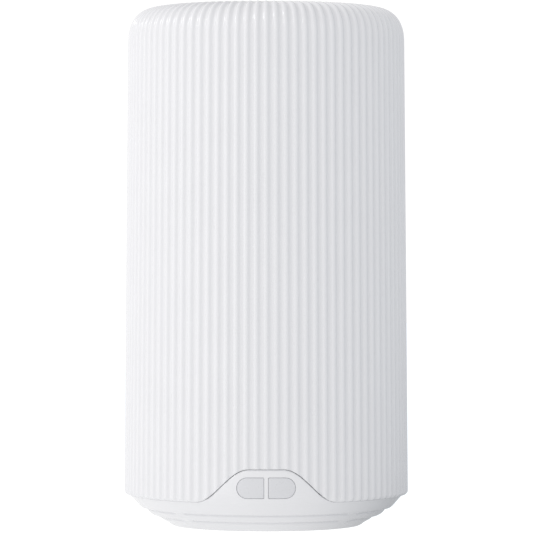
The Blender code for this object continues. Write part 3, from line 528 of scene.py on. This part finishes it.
# Down the bowl as (radius, height) points. Each point of a slot row is a pair: where the surface lies on
# the bridges between the slots, and where it lies in a slot.
BOWL_TOP = (
    (BOWL_RIM_RADIUS, BOWL_RIM_Z),
    (56.7, 11.85),
    (56.05, 11.1),
    (55.2, 10.1),
    (54.35, 9.1),
    (53.7, 8.4),
    (53.2, 7.95),
)
UPPER_SLOT_ROW = (
    ((52.95, 7.75), (52.85, 7.7)),
    ((52.7, 7.6), (52.5, 7.65)),
    ((52.3, 7.45), (50.9, 7.6)),
    ((51.6, 7.25), (50.4, 7.45)),
    ((51.1, 7.05), (50.3, 7.15)),
    ((50.8, 6.9), (50.35, 6.9)),
    ((50.45, 6.75), (50.35, 6.7)),
    ((50.15, 6.5), (50.15, 6.45)),
    ((49.95, 6.25), (49.95, 6.15)),
)
BOWL_MIDDLE = ((49.6, 5.75), (49.05, 5.2), (48.3, 4.75))
LOWER_SLOT_ROW = (
    ((47.75, 4.5), (47.7, 4.45)),
    ((47.4, 4.35), (47.3, 4.4)),
    ((46.8, 4.15), (45.6, 4.3)),
    ((46.2, 3.95), (45.0, 4.15)),
    ((45.6, 3.75), (44.9, 3.8)),
    ((45.1, 3.5), (44.85, 3.5)),
    ((44.8, 3.3), (44.75, 3.3)),
)
BOWL_BOTTOM = (
    (44.5, 3.05),
    (43.7, 2.55),
    (42.6, 1.95),
    (41.6, 1.35),
    (40.9, 0.8),
    (40.3, 0.4),
    (39.7, 0.12),
    (38.6, 0.05),
    (38.2, 0.3),
)
BOWL_INSIDE = ((38.2, 3.3), (24.0, 3.3), (24.0, 5.3), (42.0, 5.3), (45.0, 7.5), (50.0, 11.5))


def bowl_rows():
    """(point on a bridge, point in a slot) down the outside of the bowl and up its inside."""
    rows = [(point, point) for point in BOWL_TOP]
    rows += UPPER_SLOT_ROW
    rows += [(point, point) for point in BOWL_MIDDLE]
    rows += LOWER_SLOT_ROW
    rows += [(point, point) for point in BOWL_BOTTOM + BOWL_INSIDE]
    return rows


def make_housing():
    angles = np.linspace(0, 2 * math.pi, HOUSING_COLUMNS, endpoint=False)
    ones = np.ones(HOUSING_COLUMNS)
    rise, _ = edge_rise(angles)
    top = SHELL_LOW + rise - seam_drop(angles)
    face_top = face_radius(top)
    edge = FACE_EDGE + (WAVE_FACE_EDGE - FACE_EDGE) * smooth_step(0.0, WAVE_EDGE_RISE, rise)

    rings = [
        ring_points(angles, (NECK_RADIUS - NECK_THICK) * ones, top + NECK_HEIGHT),
        ring_points(angles, NECK_RADIUS * ones, top + NECK_HEIGHT),
        ring_points(angles, NECK_RADIUS * ones, top),
    ]
    for angle in np.linspace(0, math.pi / 2, 6):
        radius = face_radius(top - edge) - edge * (1 - math.sin(angle))
        height = top - edge * (1 - math.cos(angle))
        rings.append(ring_points(angles, np.minimum(radius, face_top + 0.3), height))
    for share in np.linspace(0, 1, 17)[1:-1]:
        height = top - edge + (BOWL_RIM_Z - top + edge) * share
        rings.append(ring_points(angles, face_radius(height), height))
    weight = slot_weight(angles)
    for bridge, slot in bowl_rows():
        radius = bridge[0] + (slot[0] - bridge[0]) * weight
        height = bridge[1] + (slot[1] - bridge[1]) * weight
        rings.append(ring_points(angles, radius, height))
    housing = ring_grid("base_bowl", rings)

    boolean(housing, bay_frame(), "UNION")
    boolean(housing, bay_cutter(), "DIFFERENCE")
    bosses, bores = make_bosses()
    boolean(housing, bosses, "UNION")
    boolean(housing, bores, "DIFFERENCE")
    for side in (-1, 1):
        boolean(housing, stack("key_space", key_hole_rings(side)), "DIFFERENCE")
    clean(housing)
    shade(housing)
    return housing


def bay_outline(grow):
    """The port bay's outline, with points along its long sides to follow the curved hood."""
    half = BAY_HALF_WIDTH + grow
    return rounded_outline(0.0, half, BAY_LOW - grow, BAY_TOP + grow, BAY_CORNER, BAY_SIDE_STEPS)


def bay_frame():
    """The block around the bay, from its back to just inside the hood's face."""
    outline = bay_outline(BAY_WALL)
    back_ring = [(x, BAY_BACK, z) for x, z in outline]
    face_ring = [(x, math.sqrt((FLUSH_RADIUS - 0.4) ** 2 - x * x), z) for x, z in outline]
    return stack("bay_frame", [back_ring, face_ring])


def bay_cutter():
    """The bay's clear space, flared at the hood's face so that its edge comes out rounded."""
    rings = [[(x, BAY_BACK - PAST_SURFACE, z) for x, z in bay_outline(0.0)]]
    for grow, depth in BAY_EDGE:
        radius = FLUSH_RADIUS - depth
        rings.append([(x, math.sqrt(radius * radius - x * x), z) for x, z in bay_outline(grow)])
    rings.append([(x, FLUSH_RADIUS + 10.0, z) for x, z in bay_outline(BAY_EDGE[-1][0])])
    return stack("bay_space", rings)


def make_bosses():
    """The screw bosses inside the bowl, as one mesh, and their bores as another."""
    bosses = []
    bores = []

    def add_boss(radius, place, along, reach, bore):
        """The reach and the bore are the distances at which each starts and ends."""
        bosses.append(round_solid("boss", [(radius, end) for end in reach], 32, place, along))
        bores.append(round_solid("bore", [(SCREW_BORE, end) for end in bore], 20, place, along))

    key_reach = (KEY_BOSS_FRONT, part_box("key_board")[0].y / MM - GAP)
    for side in (-1, 1):
        add_boss(KEY_BOSS_RADIUS, (side * KEY_BOSS_X, 0.0, KEY_Z), "Y", key_reach, KEY_BOSS_BORE)
        place = (side * PORT_BOSS_X, PORT_BOSS_Y, 0.0)
        add_boss(PORT_BOSS_RADIUS, place, "Z", PORT_BOSS_REACH, PORT_BOSS_BORE)
    for degrees in CHASSIS_BOSS_DEGREES:
        place = on_ring(CHASSIS_BOSS_RING, math.radians(degrees))
        add_boss(CHASSIS_BOSS_RADIUS, place, "Z", CHASSIS_BOSS_REACH, CHASSIS_BOSS_BORE)
    for i in range(PLATE_BOSSES):
        place = on_ring(PLATE_BOSS_RING, 2 * math.pi / PLATE_BOSSES * i)
        add_boss(PLATE_BOSS_RADIUS, place, "Z", PLATE_BOSS_REACH, PLATE_BOSS_BORE)
    return merged("bosses", bosses), merged("bores", bores)


# ---- Keys ----


def key_outline(side, grow):
    """One half of the stadium, with small inner corners, grown or shrunk all round."""
    radius = KEY_HALF_HEIGHT + grow
    inner = KEY_BAR_HALF - grow
    centre = KEY_OUTER - KEY_HALF_HEIGHT
    corner = max(KEY_CORNER + grow, KEY_CORNER_LEAST)
    low = KEY_Z - radius
    high = KEY_Z + radius
    outline = arc((inner + corner, low + corner), corner, math.pi, 3 * math.pi / 2, 4)
    outline += [(inner + corner + (centre - inner - corner) * i / 8, low) for i in range(1, 8)]
    outline += arc((centre, KEY_Z), radius, -math.pi / 2, math.pi / 2, 28)
    outline += [(centre + (inner + corner - centre) * i / 8, high) for i in range(1, 8)]
    outline += arc((inner + corner, high - corner), corner, math.pi / 2, math.pi, 4)
    outline += [(inner, high - corner - (high - low - 2 * corner) * i / 10) for i in range(1, 10)]
    return [(side * x, z) for x, z in outline]


def on_face(outline, depth):
    """Outline points set on the tongue's face, or a depth behind it."""
    points = []
    for x, z in outline:
        radius = float(face_radius(np.array(z))) - depth
        points.append((x, -math.sqrt(radius * radius - x * x), z))
    return points


def key_hole_rings(side):
    """A cutter for one key's opening, flared at the face so that the edge comes out softly rounded."""
    rings = [[(x, KEY_HOLE_BACK, z) for x, z in key_outline(side, 0.0)]]
    rings += [on_face(key_outline(side, grow), depth) for grow, depth in KEY_HOLE_EDGE]
    return rings


def make_key(side, name):
    """A key's cap with a rounded edge and a face that follows the tongue, slightly below it."""
    rings = [[(x, KEY_BACK, z) for x, z in key_outline(side, -KEY_GAP)]]
    for shrink, depth in KEY_EDGE:
        rings.append(on_face(key_outline(side, -KEY_GAP - shrink), KEY_SINK + depth))
    outline = np.array(key_outline(side, -KEY_GAP - KEY_EDGE[-1][0]))
    centre = outline.mean(axis=0)
    for share in KEY_FACE_SHARES:
        rings.append(on_face(centre + (outline - centre) * share, KEY_SINK))
    key = stack(name, rings)

    middle = side * (FLANGE_INNER + FLANGE_OUTER) / 2
    half = (FLANGE_OUTER - FLANGE_INNER) / 2
    low = KEY_Z - FLANGE_HALF_HEIGHT
    high = KEY_Z + FLANGE_HALF_HEIGHT
    flange = rounded_outline(middle, half, low, high, FLANGE_CORNER)
    boolean(key, along_y("flange", [(FLANGE_FRONT, flange), (FLANGE_BACK, flange)]), "UNION")
    place = (side * STEM_X, 0.0, STEM_Z)
    boolean(key, round_solid("stem", STEM_PROFILE, 32, place, "Y"), "UNION")
    shade(key)
    return key


# ---- Top cap and foot ----


def make_top_cap():
    """A closed disc, slightly dished, with a rounded edge and legs that stand on the chassis."""
    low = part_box("top_cap")[1].z / MM - CAP_THICK
    high = low + CAP_THICK
    profile = [(radius, high - depth) for radius, depth in CAP_DISH]
    profile += reversed(arc((CAP_RADIUS - CAP_EDGE, high - CAP_EDGE), CAP_EDGE, 0.0, math.pi / 2, 6))
    profile += [(CAP_RADIUS, low + CAP_UNDER_EDGE), (CAP_RADIUS - CAP_UNDER_EDGE, low)]
    cap = round_solid("cap_disc", profile, 192)
    leg = [(CAP_LEG_RADIUS, CAP_LEG_FOOT), (CAP_LEG_RADIUS, low + CAP_THICK - PAST_SURFACE)]
    for i in range(CAP_LEGS):
        place = on_ring(CAP_LEG_RING, 2 * math.pi / CAP_LEGS * (i + 0.5))
        boolean(cap, round_solid("cap_leg", leg, 32, place), "UNION")
    clean(cap)
    shade(cap)
    return cap


def make_foot():
    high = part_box("foot_ring")[1].z / MM
    profile = [(FOOT_INNER, high), (FOOT_OUTER, high), (FOOT_OUTER, FOOT_EDGE)]
    profile += arc((FOOT_OUTER - FOOT_EDGE, FOOT_EDGE), FOOT_EDGE, 0.0, -math.pi / 2, 4)[1:]
    profile += arc((FOOT_INNER + FOOT_EDGE, FOOT_EDGE), FOOT_EDGE, -math.pi / 2, -math.pi, 4)
    return turned("rubber_foot", profile)


# ---- Port panel, jacks and reset button ----


def node_box(node):
    """A CAD node's lowest and highest corners in millimetres."""
    low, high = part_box(node)
    return low / MM, high / MM


def middle_of(node):
    """The x and z of the middle of a CAD node."""
    low, high = node_box(node)
    return (low.x + high.x) / 2, (low.z + high.z) / 2


def eased_block(name, low, high, corner, edge):
    """A block along Y with rounded corners and an eased front edge."""
    middle = (low.x + high.x) / 2
    half = (high.x - low.x) / 2

    def outline(shrink):
        least = max(corner - shrink, 0.1)
        return rounded_outline(middle, half - shrink, low.z + shrink, high.z - shrink, least)

    levels = [(low.y, outline(0.0)), (high.y - edge, outline(0.0))]
    levels += [(high.y - 0.3 * edge, outline(0.3 * edge)), (high.y, outline(edge))]
    return along_y(name, levels)


def flared_cut(target, outline, back, face, flare):
    """Cuts an opening from a face in to the back, its mouth flared.

    The outline is a function of how far it is grown all round.
    """
    levels = [(back, outline(0.0)), (face - flare, outline(0.0))]
    levels += [(face - 0.3 * flare, outline(0.3 * flare))]
    levels += [(face + 0.02, outline(flare)), (face + 2.0, outline(flare))]
    boolean(target, along_y("opening", levels), "DIFFERENCE")


def rectangle(middle, half, low, high, corner):
    """A rounded rectangle's outline, as a function of how far it is grown."""

    def outline(grow):
        return rounded_outline(middle, half + grow, low - grow, high + grow, corner + grow)

    return outline


def circle(x, z, radius, steps=48):
    """A circle's outline, as a function of how far it is grown."""

    def outline(grow):
        return arc((x, z), radius + grow, 0.0, 2 * math.pi * (steps - 1) / steps, steps - 1)

    return outline


def make_port_plate():
    """The panel behind the bay, with an opening for each jack and one for the reset button."""
    low, high = node_box("port_panel")
    back = low.y - PAST_SURFACE
    plate = eased_block("port_plate", low, high, BAY_CORNER - GAP, PANEL_EDGE)
    for node in ("ethernet_jack_1", "ethernet_jack_2", "dc_jack"):
        jack_low, jack_high = node_box(node)
        x, _ = middle_of(node)
        half = (jack_high.x - jack_low.x) / 2 + JACK_GAP
        opening = rectangle(x, half, low.z - 2.0, jack_high.z + JACK_GAP, PANEL_OPENING_CORNER)
        flared_cut(plate, opening, back, high.y, PANEL_FLARE)
    x, z = middle_of("reset_button")
    flared_cut(plate, circle(x, z, RESET_RADIUS + GAP), back, high.y, PANEL_FLARE)
    shade(plate)
    return plate


def make_ethernet_shell(number):
    """An RJ45 jack's housing: the socket, the latch notch above it and the slot above that."""
    node = f"ethernet_jack_{number}"
    low, high = node_box(node)
    jack = eased_block(f"ethernet_shell_{number}", low, high, 0.5, 0.25)
    x, _ = middle_of(node)
    sill = low.z + SOCKET_SILL
    top = sill + SOCKET_HEIGHT
    back = high.y - SOCKET_DEPTH
    latch_top = top + LATCH_HEIGHT
    steps = (
        (SOCKET_WIDTH / 2, sill, top, back),
        (LATCH_WIDTH / 2, top - PAST_SURFACE, latch_top, back + 3.0),
        (LATCH_SLOT_WIDTH / 2, latch_top - PAST_SURFACE, latch_top + LATCH_SLOT_HEIGHT, back + 5.0),
    )
    for half, bottom, roof, depth in steps:
        flared_cut(jack, rectangle(x, half, bottom, roof, 0.25), depth, high.y, 0.3)
    shade(jack)
    return jack


def make_ethernet_contacts(number):
    """The jack's eight spring contacts, which slope up from the socket's sill towards its back."""
    node = f"ethernet_jack_{number}"
    low, high = node_box(node)
    middle, _ = middle_of(node)
    sill = low.z + SOCKET_SILL
    face = high.y
    route = [(face - 2.2, sill + 0.1), (face - 3.2, sill + 0.35), (face - 8.5, sill + 2.9)]
    route += [(face - 10.5, sill + 3.5), (face - 12.6, sill + 3.6)]
    wires = []
    for i in range(CONTACTS):
        x = middle + CONTACT_PITCH * (i - (CONTACTS - 1) / 2)
        left = x - CONTACT_HALF_WIDTH
        right = x + CONTACT_HALF_WIDTH
        rings = []
        for y, z in route:
            top = z + CONTACT_THICK
            rings.append([(left, y, z), (right, y, z), (right, y, top), (left, y, top)])
        wires.append(stack("contact", rings))
    contacts = merged(f"ethernet_contacts_{number}", wires)
    shade(contacts, 50.0)
    return contacts


def make_inlet():
    """The power inlet: a block with a round bore."""
    low, high = node_box("dc_jack")
    inlet = eased_block("power_inlet", low, high, 0.8, 0.3)
    bore = circle(*middle_of("dc_jack"), INLET_BORE)
    flared_cut(inlet, bore, high.y - INLET_BORE_DEPTH, high.y, 0.5)
    shade(inlet)
    return inlet


def make_inlet_pin():
    """The pin in the middle of the inlet's bore, with a rounded tip."""
    x, z = middle_of("dc_jack")
    face = node_box("dc_jack")[1].y
    shoulder = face - INLET_PIN_SINK - INLET_PIN_ROUND
    profile = [(INLET_PIN, face - INLET_BORE_DEPTH + 0.02), (INLET_PIN, shoulder)]
    for turn in (0.3, 0.6, 0.9, 1.2, 1.45):
        profile.append((INLET_PIN * math.cos(turn), shoulder + INLET_PIN_ROUND * math.sin(turn)))
    return round_solid("inlet_pin", profile, 32, (x, 0.0, z), "Y")


def make_reset_cap():
    """The reset button: a flange behind the panel, and a round cap with a slight dish."""
    low, high = node_box("reset_button")
    x, z = middle_of("reset_button")
    face = high.y
    flange_front = node_box("port_panel")[0].y - GAP
    flange_back = flange_front - RESET_FLANGE_THICK
    flange = RESET_RADIUS + RESET_FLANGE_OUT
    profile = [(RESET_RADIUS, low.y), (RESET_RADIUS, flange_back), (flange, flange_back)]
    profile += [(flange, flange_front), (RESET_RADIUS, flange_front)]
    profile += arc((RESET_RADIUS - RESET_EDGE, face - RESET_EDGE), RESET_EDGE, 0.0, math.pi / 2, 5)
    profile += [(radius, face - depth) for radius, depth in RESET_DISH]
    return round_solid("reset_cap", profile, 64, (x, 0.0, z), "Y")


# ---- Materials ----


class Nodes:
    """Short ways to build a node tree."""

    def __init__(self, tree):
        self.tree = tree

    def add(self, kind, **values):
        """A node with some of its input sockets set, spaces in their names written as _."""
        node = self.tree.nodes.new(kind)
        for name, value in values.items():
            node.inputs[name.replace("_", " ")].default_value = value
        return node

    def link(self, output, socket):
        self.tree.links.new(output, socket)

    def spread(self, value, start, end, low=0.3, high=0.7, smooth=False):
        """A value between low and high spread from start to end."""
        node = self.add("ShaderNodeMapRange", From_Min=low, From_Max=high, To_Min=start, To_Max=end)
        if smooth:
            node.interpolation_type = "SMOOTHSTEP"
        self.link(value, node.inputs["Value"])
        return node.outputs["Result"]

    def blend(self, value, colour_a, colour_b):
        """Colour a where the value is 0 and colour b where it is 1. Each is a colour or an output."""
        node = self.tree.nodes.new("ShaderNodeMix")
        node.data_type = "RGBA"
        for name, colour in (("A", colour_a), ("B", colour_b)):
            if isinstance(colour, tuple):
                node.inputs[name].default_value = (*colour, 1.0)
            else:
                self.link(colour, node.inputs[name])
        self.link(value, node.inputs["Factor"])
        return node.outputs["Result"]

    def math(self, operation, first, second):
        """Two outputs, or an output and a number, put together."""
        node = self.tree.nodes.new("ShaderNodeMath")
        node.operation = operation
        self.link(first, node.inputs[0])
        if isinstance(second, (int, float)):
            node.inputs[1].default_value = second
        else:
            self.link(second, node.inputs[1])
        return node.outputs["Value"]

    def along(self, vector, direction):
        """How far a vector goes in a direction."""
        node = self.tree.nodes.new("ShaderNodeVectorMath")
        node.operation = "DOT_PRODUCT"
        self.link(vector, node.inputs[0])
        node.inputs[1].default_value = direction
        return node.outputs["Value"]


class Shader(Nodes):
    """A material around one Principled shader, its textures laid out in the object's own metres."""

    def __init__(self, name):
        self.material = bpy.data.materials.new(name)
        self.material.use_nodes = True
        super().__init__(self.material.node_tree)
        self.main = self.tree.nodes["Principled BSDF"]
        self.place = self.add("ShaderNodeTexCoord").outputs["Object"]

    def set(self, name, value):
        self.main.inputs[name].default_value = value

    def feed(self, name, output):
        self.link(output, self.main.inputs[name])

    def scaled(self, x, y, z):
        node = self.add("ShaderNodeMapping", Scale=(x, y, z))
        self.link(self.place, node.inputs["Vector"])
        return node.outputs["Vector"]

    def noise(self, scale, detail=3.0, place=None):
        node = self.add("ShaderNodeTexNoise", Scale=scale, Detail=detail)
        self.link(place or self.place, node.inputs["Vector"])
        return node.outputs["Fac"]

    def cells(self, scale, feature="F1", place=None):
        node = self.tree.nodes.new("ShaderNodeTexVoronoi")
        node.feature = feature
        node.inputs["Scale"].default_value = scale
        self.link(place or self.place, node.inputs["Vector"])
        return node.outputs["Distance"]

    def bump(self, value, strength, distance):
        node = self.add("ShaderNodeBump", Strength=strength, Distance=distance)
        self.link(value, node.inputs["Height"])
        self.link(node.outputs["Normal"], self.main.inputs["Normal"])


def moulded(name, colour, roughness, grain, tint=0.03):
    """Moulded plastic or resin: slight colour and gloss variation over a fine grain."""
    shader = Shader(name)
    darker = tuple(c * (1 - tint) for c in colour)
    shade_noise = shader.spread(shader.noise(60.0), 0.0, 1.0)
    shader.feed("Base Color", shader.blend(shade_noise, colour, darker))
    gloss = shader.spread(shader.noise(900.0), roughness - 0.04, roughness + 0.04)
    shader.feed("Roughness", gloss)
    shader.bump(shader.noise(grain, 2.0), 0.05, 0.00001)
    return shader.material


def soft_rubber():
    """Matt rubber with a fine pebble grain and a little dust on it."""
    shader = Shader("grey_rubber")
    dust = shader.spread(shader.noise(450.0, 6.0), 0.0, 1.0, 0.52, 0.72)
    shader.feed("Base Color", shader.blend(dust, (0.13, 0.13, 0.135), (0.24, 0.235, 0.23)))
    shader.set("Roughness", 0.85)
    shader.bump(shader.cells(1400.0), 0.35, 0.00005)
    return shader.material


def printed_board():
    """Green solder mask over copper tracks, with tinned pads."""
    shader = Shader("circuit_board")
    tracks = shader.cells(260.0, "DISTANCE_TO_EDGE")
    edge = shader.spread(tracks, 1.0, 0.0, 0.02, 0.05)
    mask = shader.blend(edge, (0.012, 0.13, 0.06), (0.03, 0.24, 0.11))
    pads = shader.spread(shader.cells(420.0), 1.0, 0.0, 0.12, 0.16)
    shader.feed("Base Color", shader.blend(pads, mask, (0.75, 0.68, 0.5)))
    shader.feed("Metallic", shader.math("MULTIPLY", pads, 0.9))
    shader.feed("Roughness", shader.spread(shader.noise(800.0), 0.28, 0.42))
    shader.bump(shader.math("ADD", edge, pads), 0.4, 0.00003)
    return shader.material


def brushed_metal(name, colour, roughness, lengthwise):
    """Metal with fine drawn lines, lengthwise along Z or in every direction."""
    shader = Shader(name)
    place = shader.scaled(1.0, 1.0, 0.02) if lengthwise else None
    lines = shader.noise(4200.0 if lengthwise else 1500.0, 3.0, place)
    darker = tuple(c * 0.86 for c in colour)
    shader.feed("Base Color", shader.blend(shader.spread(lines, 0.0, 1.0), colour, darker))
    shader.feed("Roughness", shader.spread(lines, roughness - 0.08, roughness + 0.1))
    shader.set("Metallic", 1.0)
    shader.bump(lines, 0.2, 0.00002)
    return shader.material


def flat_ribbon():
    """A polyester ribbon with conductor lines every millimetre along its length."""
    shader = Shader("ribbon_film")
    lines = shader.add("ShaderNodeTexWave", Scale=159.0)
    shader.link(shader.place, lines.inputs["Vector"])
    strip = shader.spread(lines.outputs["Fac"], 0.0, 1.0, 0.35, 0.6)
    shader.feed("Base Color", shader.blend(strip, (0.82, 0.83, 0.85), (0.52, 0.54, 0.60)))
    shader.feed("Roughness", shader.spread(shader.noise(700.0), 0.3, 0.45))
    shader.bump(strip, 0.3, 0.00005)
    return shader.material


def clear_lens():
    """The LED's milky lens."""
    shader = Shader("led_lens")
    milky = shader.spread(shader.noise(1200.0), 0.0, 1.0)
    shader.feed("Base Color", shader.blend(milky, (0.86, 0.88, 0.80), (0.78, 0.80, 0.74)))
    shader.set("Transmission Weight", 0.4)
    shader.feed("Roughness", shader.spread(shader.noise(900.0), 0.12, 0.25))
    shader.bump(milky, 0.1, 0.00001)
    return shader.material


def paint(node, material):
    slots = frame["nodes"][node].data.materials
    slots.clear()
    slots.append(material)


# ---- Stage ----

# The level direction in which the studio's light falls off: to the right and slightly back
LIGHT_FALL = (0.93, 0.367, 0.0)

# Light levels at the bright end and at the dull end, and where the two ends lie
FLOOR_LIGHT = (1.10, 0.69, -0.12, 0.14)
WORLD_LIGHT = (1.11, 0.79, -1.0, 1.0)
CEILING_LIGHT = (1.0, 0.8, 0.0, 1.0)

# The floor's light dips in a soft round patch at the object's right side: a painted shadow in its glow
DIP_CENTRE = (0.085, 0.0, 0.0)
DIP_RADII = (0.1, 0.1, 0.1)
DIP_LIGHT = (1.0, 0.54, 0.0, 0.8)

# The light turns cooler as it falls off, between two places
FLOOR_COLOURS = ((1.0, 1.0, 1.0), (0.91, 0.955, 1.0))
FLOOR_COOLING = (0.0, 0.08)
WORLD_COLOURS = ((1.0, 0.99, 0.985), (0.975, 0.982, 1.0))
WORLD_COOLING = (-0.6, 0.8)

# How bright the camera sees the floor and the background
FLOOR_SEEN = 1.25
WORLD_SEEN = 1.05

FLOOR_HALF = 4.0
FLOOR_GLOW_SHARE = 0.9

# Softboxes: name, place, the point it faces, width and height, power
SOFTBOXES = (
    ("key_light", (-1.3, -0.06, 1.0), (0.0, 0.0, 0.21), (0.24, 0.36), 2.5),
    ("corner_light", (-1.45, -0.95, 1.0), (0.0, 0.0, 0.2), (0.16, 0.3), 1.3),
    ("front_light", (-0.75, -1.8, 0.85), (0.0, 0.0, 0.15), (0.2, 0.3), 0.75),
)

# A long lens that looks down by a quarter of a degree
CAMERA_PLACE = (0.00014, -1.45, 0.1162)
CAMERA_TILT = math.radians(0.27782)
CAMERA_LENS = 231.2274
CAMERA_SENSOR = 36.0


def make_stage():
    """A white table whose painted glow lights the object from below: shadowless to the camera, its glow
    falls off to the right and dips in a painted shadow at the object's right side.
    """
    half = FLOOR_HALF / MM
    corners = [(-half, -half, 0), (half, -half, 0), (half, half, 0), (-half, half, 0)]
    floor = add_mesh("floor", corners, [(0, 1, 2, 3)])
    painted_glow_material = bpy.data.materials.new("floor_painted_glow")
    painted_glow_material.use_nodes = True
    nodes = Nodes(painted_glow_material.node_tree)
    nodes.tree.nodes.clear()
    place = nodes.add("ShaderNodeTexCoord").outputs["Object"]
    # Painted light: the floor's glow falls off to the right, as the studio light does
    side = nodes.along(place, LIGHT_FALL)
    side_light = nodes.spread(side, *FLOOR_LIGHT)
    # Painted shadow: the glow dips in a round patch at the object's right side, where its shadow falls
    dip = nodes.add("ShaderNodeMapping", Location=DIP_CENTRE, Scale=DIP_RADII)
    dip.vector_type = "TEXTURE"
    nodes.link(place, dip.inputs["Vector"])
    spot = nodes.add("ShaderNodeTexGradient")
    spot.gradient_type = "SPHERICAL"
    nodes.link(dip.outputs["Vector"], spot.inputs["Vector"])
    dip_light = nodes.spread(spot.outputs["Fac"], *DIP_LIGHT, smooth=True)
    seen = nodes.add("ShaderNodeMix", B=FLOOR_SEEN)
    nodes.link(nodes.add("ShaderNodeLightPath").outputs["Is Camera Ray"], seen.inputs["Factor"])
    nodes.link(nodes.math("MULTIPLY", side_light, dip_light), seen.inputs["A"])
    cool = nodes.spread(side, 0.0, 1.0, *FLOOR_COOLING)
    glow = nodes.add("ShaderNodeEmission")
    nodes.link(nodes.blend(cool, *FLOOR_COLOURS), glow.inputs["Color"])
    nodes.link(seen.outputs["Result"], glow.inputs["Strength"])
    diffuse = nodes.add("ShaderNodeBsdfDiffuse", Color=(0.9, 0.9, 0.9, 1.0))
    mix = nodes.add("ShaderNodeMixShader", Fac=FLOOR_GLOW_SHARE)
    nodes.link(diffuse.outputs["BSDF"], mix.inputs[1])
    nodes.link(glow.outputs["Emission"], mix.inputs[2])
    nodes.link(mix.outputs["Shader"], nodes.add("ShaderNodeOutputMaterial").inputs["Surface"])
    floor.data.materials.append(painted_glow_material)


def make_world():
    """A white studio: brighter at the left and front, and plain white where the camera sees it."""
    world = bpy.data.worlds.new("studio")
    world.use_nodes = True
    bpy.context.scene.world = world
    nodes = Nodes(world.node_tree)
    nodes.tree.nodes.clear()
    direction = nodes.add("ShaderNodeTexCoord").outputs["Generated"]
    side = nodes.along(direction, LIGHT_FALL)
    side_light = nodes.spread(side, *WORLD_LIGHT)
    ceiling_light = nodes.spread(nodes.along(direction, (0.0, 0.0, 1.0)), *CEILING_LIGHT)
    cool = nodes.spread(side, 0.0, 1.0, *WORLD_COOLING)
    lit = nodes.add("ShaderNodeBackground")
    nodes.link(nodes.blend(cool, *WORLD_COLOURS), lit.inputs["Color"])
    nodes.link(nodes.math("MULTIPLY", side_light, ceiling_light), lit.inputs["Strength"])
    seen = nodes.add("ShaderNodeBackground", Color=(1.0, 1.0, 1.0, 1.0), Strength=WORLD_SEEN)
    mix = nodes.add("ShaderNodeMixShader")
    nodes.link(nodes.add("ShaderNodeLightPath").outputs["Is Camera Ray"], mix.inputs["Fac"])
    nodes.link(lit.outputs["Background"], mix.inputs[1])
    nodes.link(seen.outputs["Background"], mix.inputs[2])
    nodes.link(mix.outputs["Shader"], nodes.add("ShaderNodeOutputWorld").inputs["Surface"])


def add_softbox(name, place, target, size, power):
    light = bpy.data.lights.new(name, "AREA")
    light.shape = "RECTANGLE"
    light.size, light.size_y = size
    light.energy = power
    obj = bpy.data.objects.new(name, light)
    obj.location = place
    obj.rotation_mode = "QUATERNION"
    obj.rotation_quaternion = (Vector(target) - Vector(place)).to_track_quat("-Z", "Y")
    bpy.context.scene.collection.objects.link(obj)


def make_camera():
    camera = bpy.data.cameras.new("camera")
    camera.sensor_width = CAMERA_SENSOR
    camera.lens = CAMERA_LENS
    obj = bpy.data.objects.new("camera", camera)
    obj.location = CAMERA_PLACE
    obj.rotation_euler = (math.pi / 2 - CAMERA_TILT, 0.0, 0.0)
    bpy.context.scene.collection.objects.link(obj)
    bpy.context.scene.camera = obj


# ---- Assembly ----

make_camera()
make_world()
make_stage()
bpy.context.scene.view_settings.view_transform = "Standard"
for softbox in SOFTBOXES:
    add_softbox(*softbox)

SLOT_MATERIALS = {
    "white_plastic": moulded("white_plastic", (0.822, 0.826, 0.847), 0.17, 2600.0, tint=0.012),
    "frosted_key_plastic": moulded("frosted_plastic", (0.715, 0.722, 0.748), 0.3, 3200.0, tint=0.02),
    "grey_plastic": moulded("grey_plastic", (0.30, 0.31, 0.33), 0.5, 2400.0),
    "black_plastic": moulded("black_plastic", (0.03, 0.03, 0.035), 0.42, 2400.0, tint=0.2),
    "grey_rubber": soft_rubber(),
    "circuit_board": printed_board(),
    "chip_resin": moulded("chip_resin", (0.02, 0.02, 0.022), 0.4, 3000.0, tint=0.2),
    "thermal_pad": moulded("thermal_pad", (0.45, 0.55, 0.62), 0.8, 1200.0),
    "aluminium": brushed_metal("aluminium", (0.74, 0.75, 0.77), 0.34, lengthwise=True),
    "plated_steel": brushed_metal("plated_steel", (0.66, 0.67, 0.68), 0.28, lengthwise=False),
    "led_lens": clear_lens(),
    "ribbon_film": flat_ribbon(),
}
for part in frame["record"]["subparts"]:
    paint(part["node"], SLOT_MATERIALS[part["material_slot"]])

PIECES = (
    (make_shell(), "outer_shell", "white_plastic", "node_body"),
    (make_housing(), "base_housing", "white_plastic", "node_body"),
    (make_top_cap(), "top_cap", "white_plastic", "node_body"),
    (make_foot(), "foot_ring", "grey_rubber", "node_body"),
    (make_key(-1, "left_key_cap"), "left_key", "frosted_key_plastic", "left_key_body"),
    (make_key(1, "right_key_cap"), "right_key", "frosted_key_plastic", "right_key_body"),
    (make_port_plate(), "port_panel", "grey_plastic", "node_body"),
    (make_ethernet_shell(1), "ethernet_jack_1", "black_plastic", "node_body"),
    (make_ethernet_shell(2), "ethernet_jack_2", "black_plastic", "node_body"),
    (make_inlet(), "dc_jack", "black_plastic", "node_body"),
    (make_reset_cap(), "reset_button", "grey_plastic", "reset_button_body"),
    (make_ethernet_contacts(1), None, "plated_steel", "node_body"),
    (make_ethernet_contacts(2), None, "plated_steel", "node_body"),
    (make_inlet_pin(), None, "plated_steel", "node_body"),
)
for piece, node, slot_name, body in PIECES:
    piece.data.materials.clear()
    piece.data.materials.append(SLOT_MATERIALS[slot_name])
    if node:
        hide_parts(node)
    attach(piece, body)
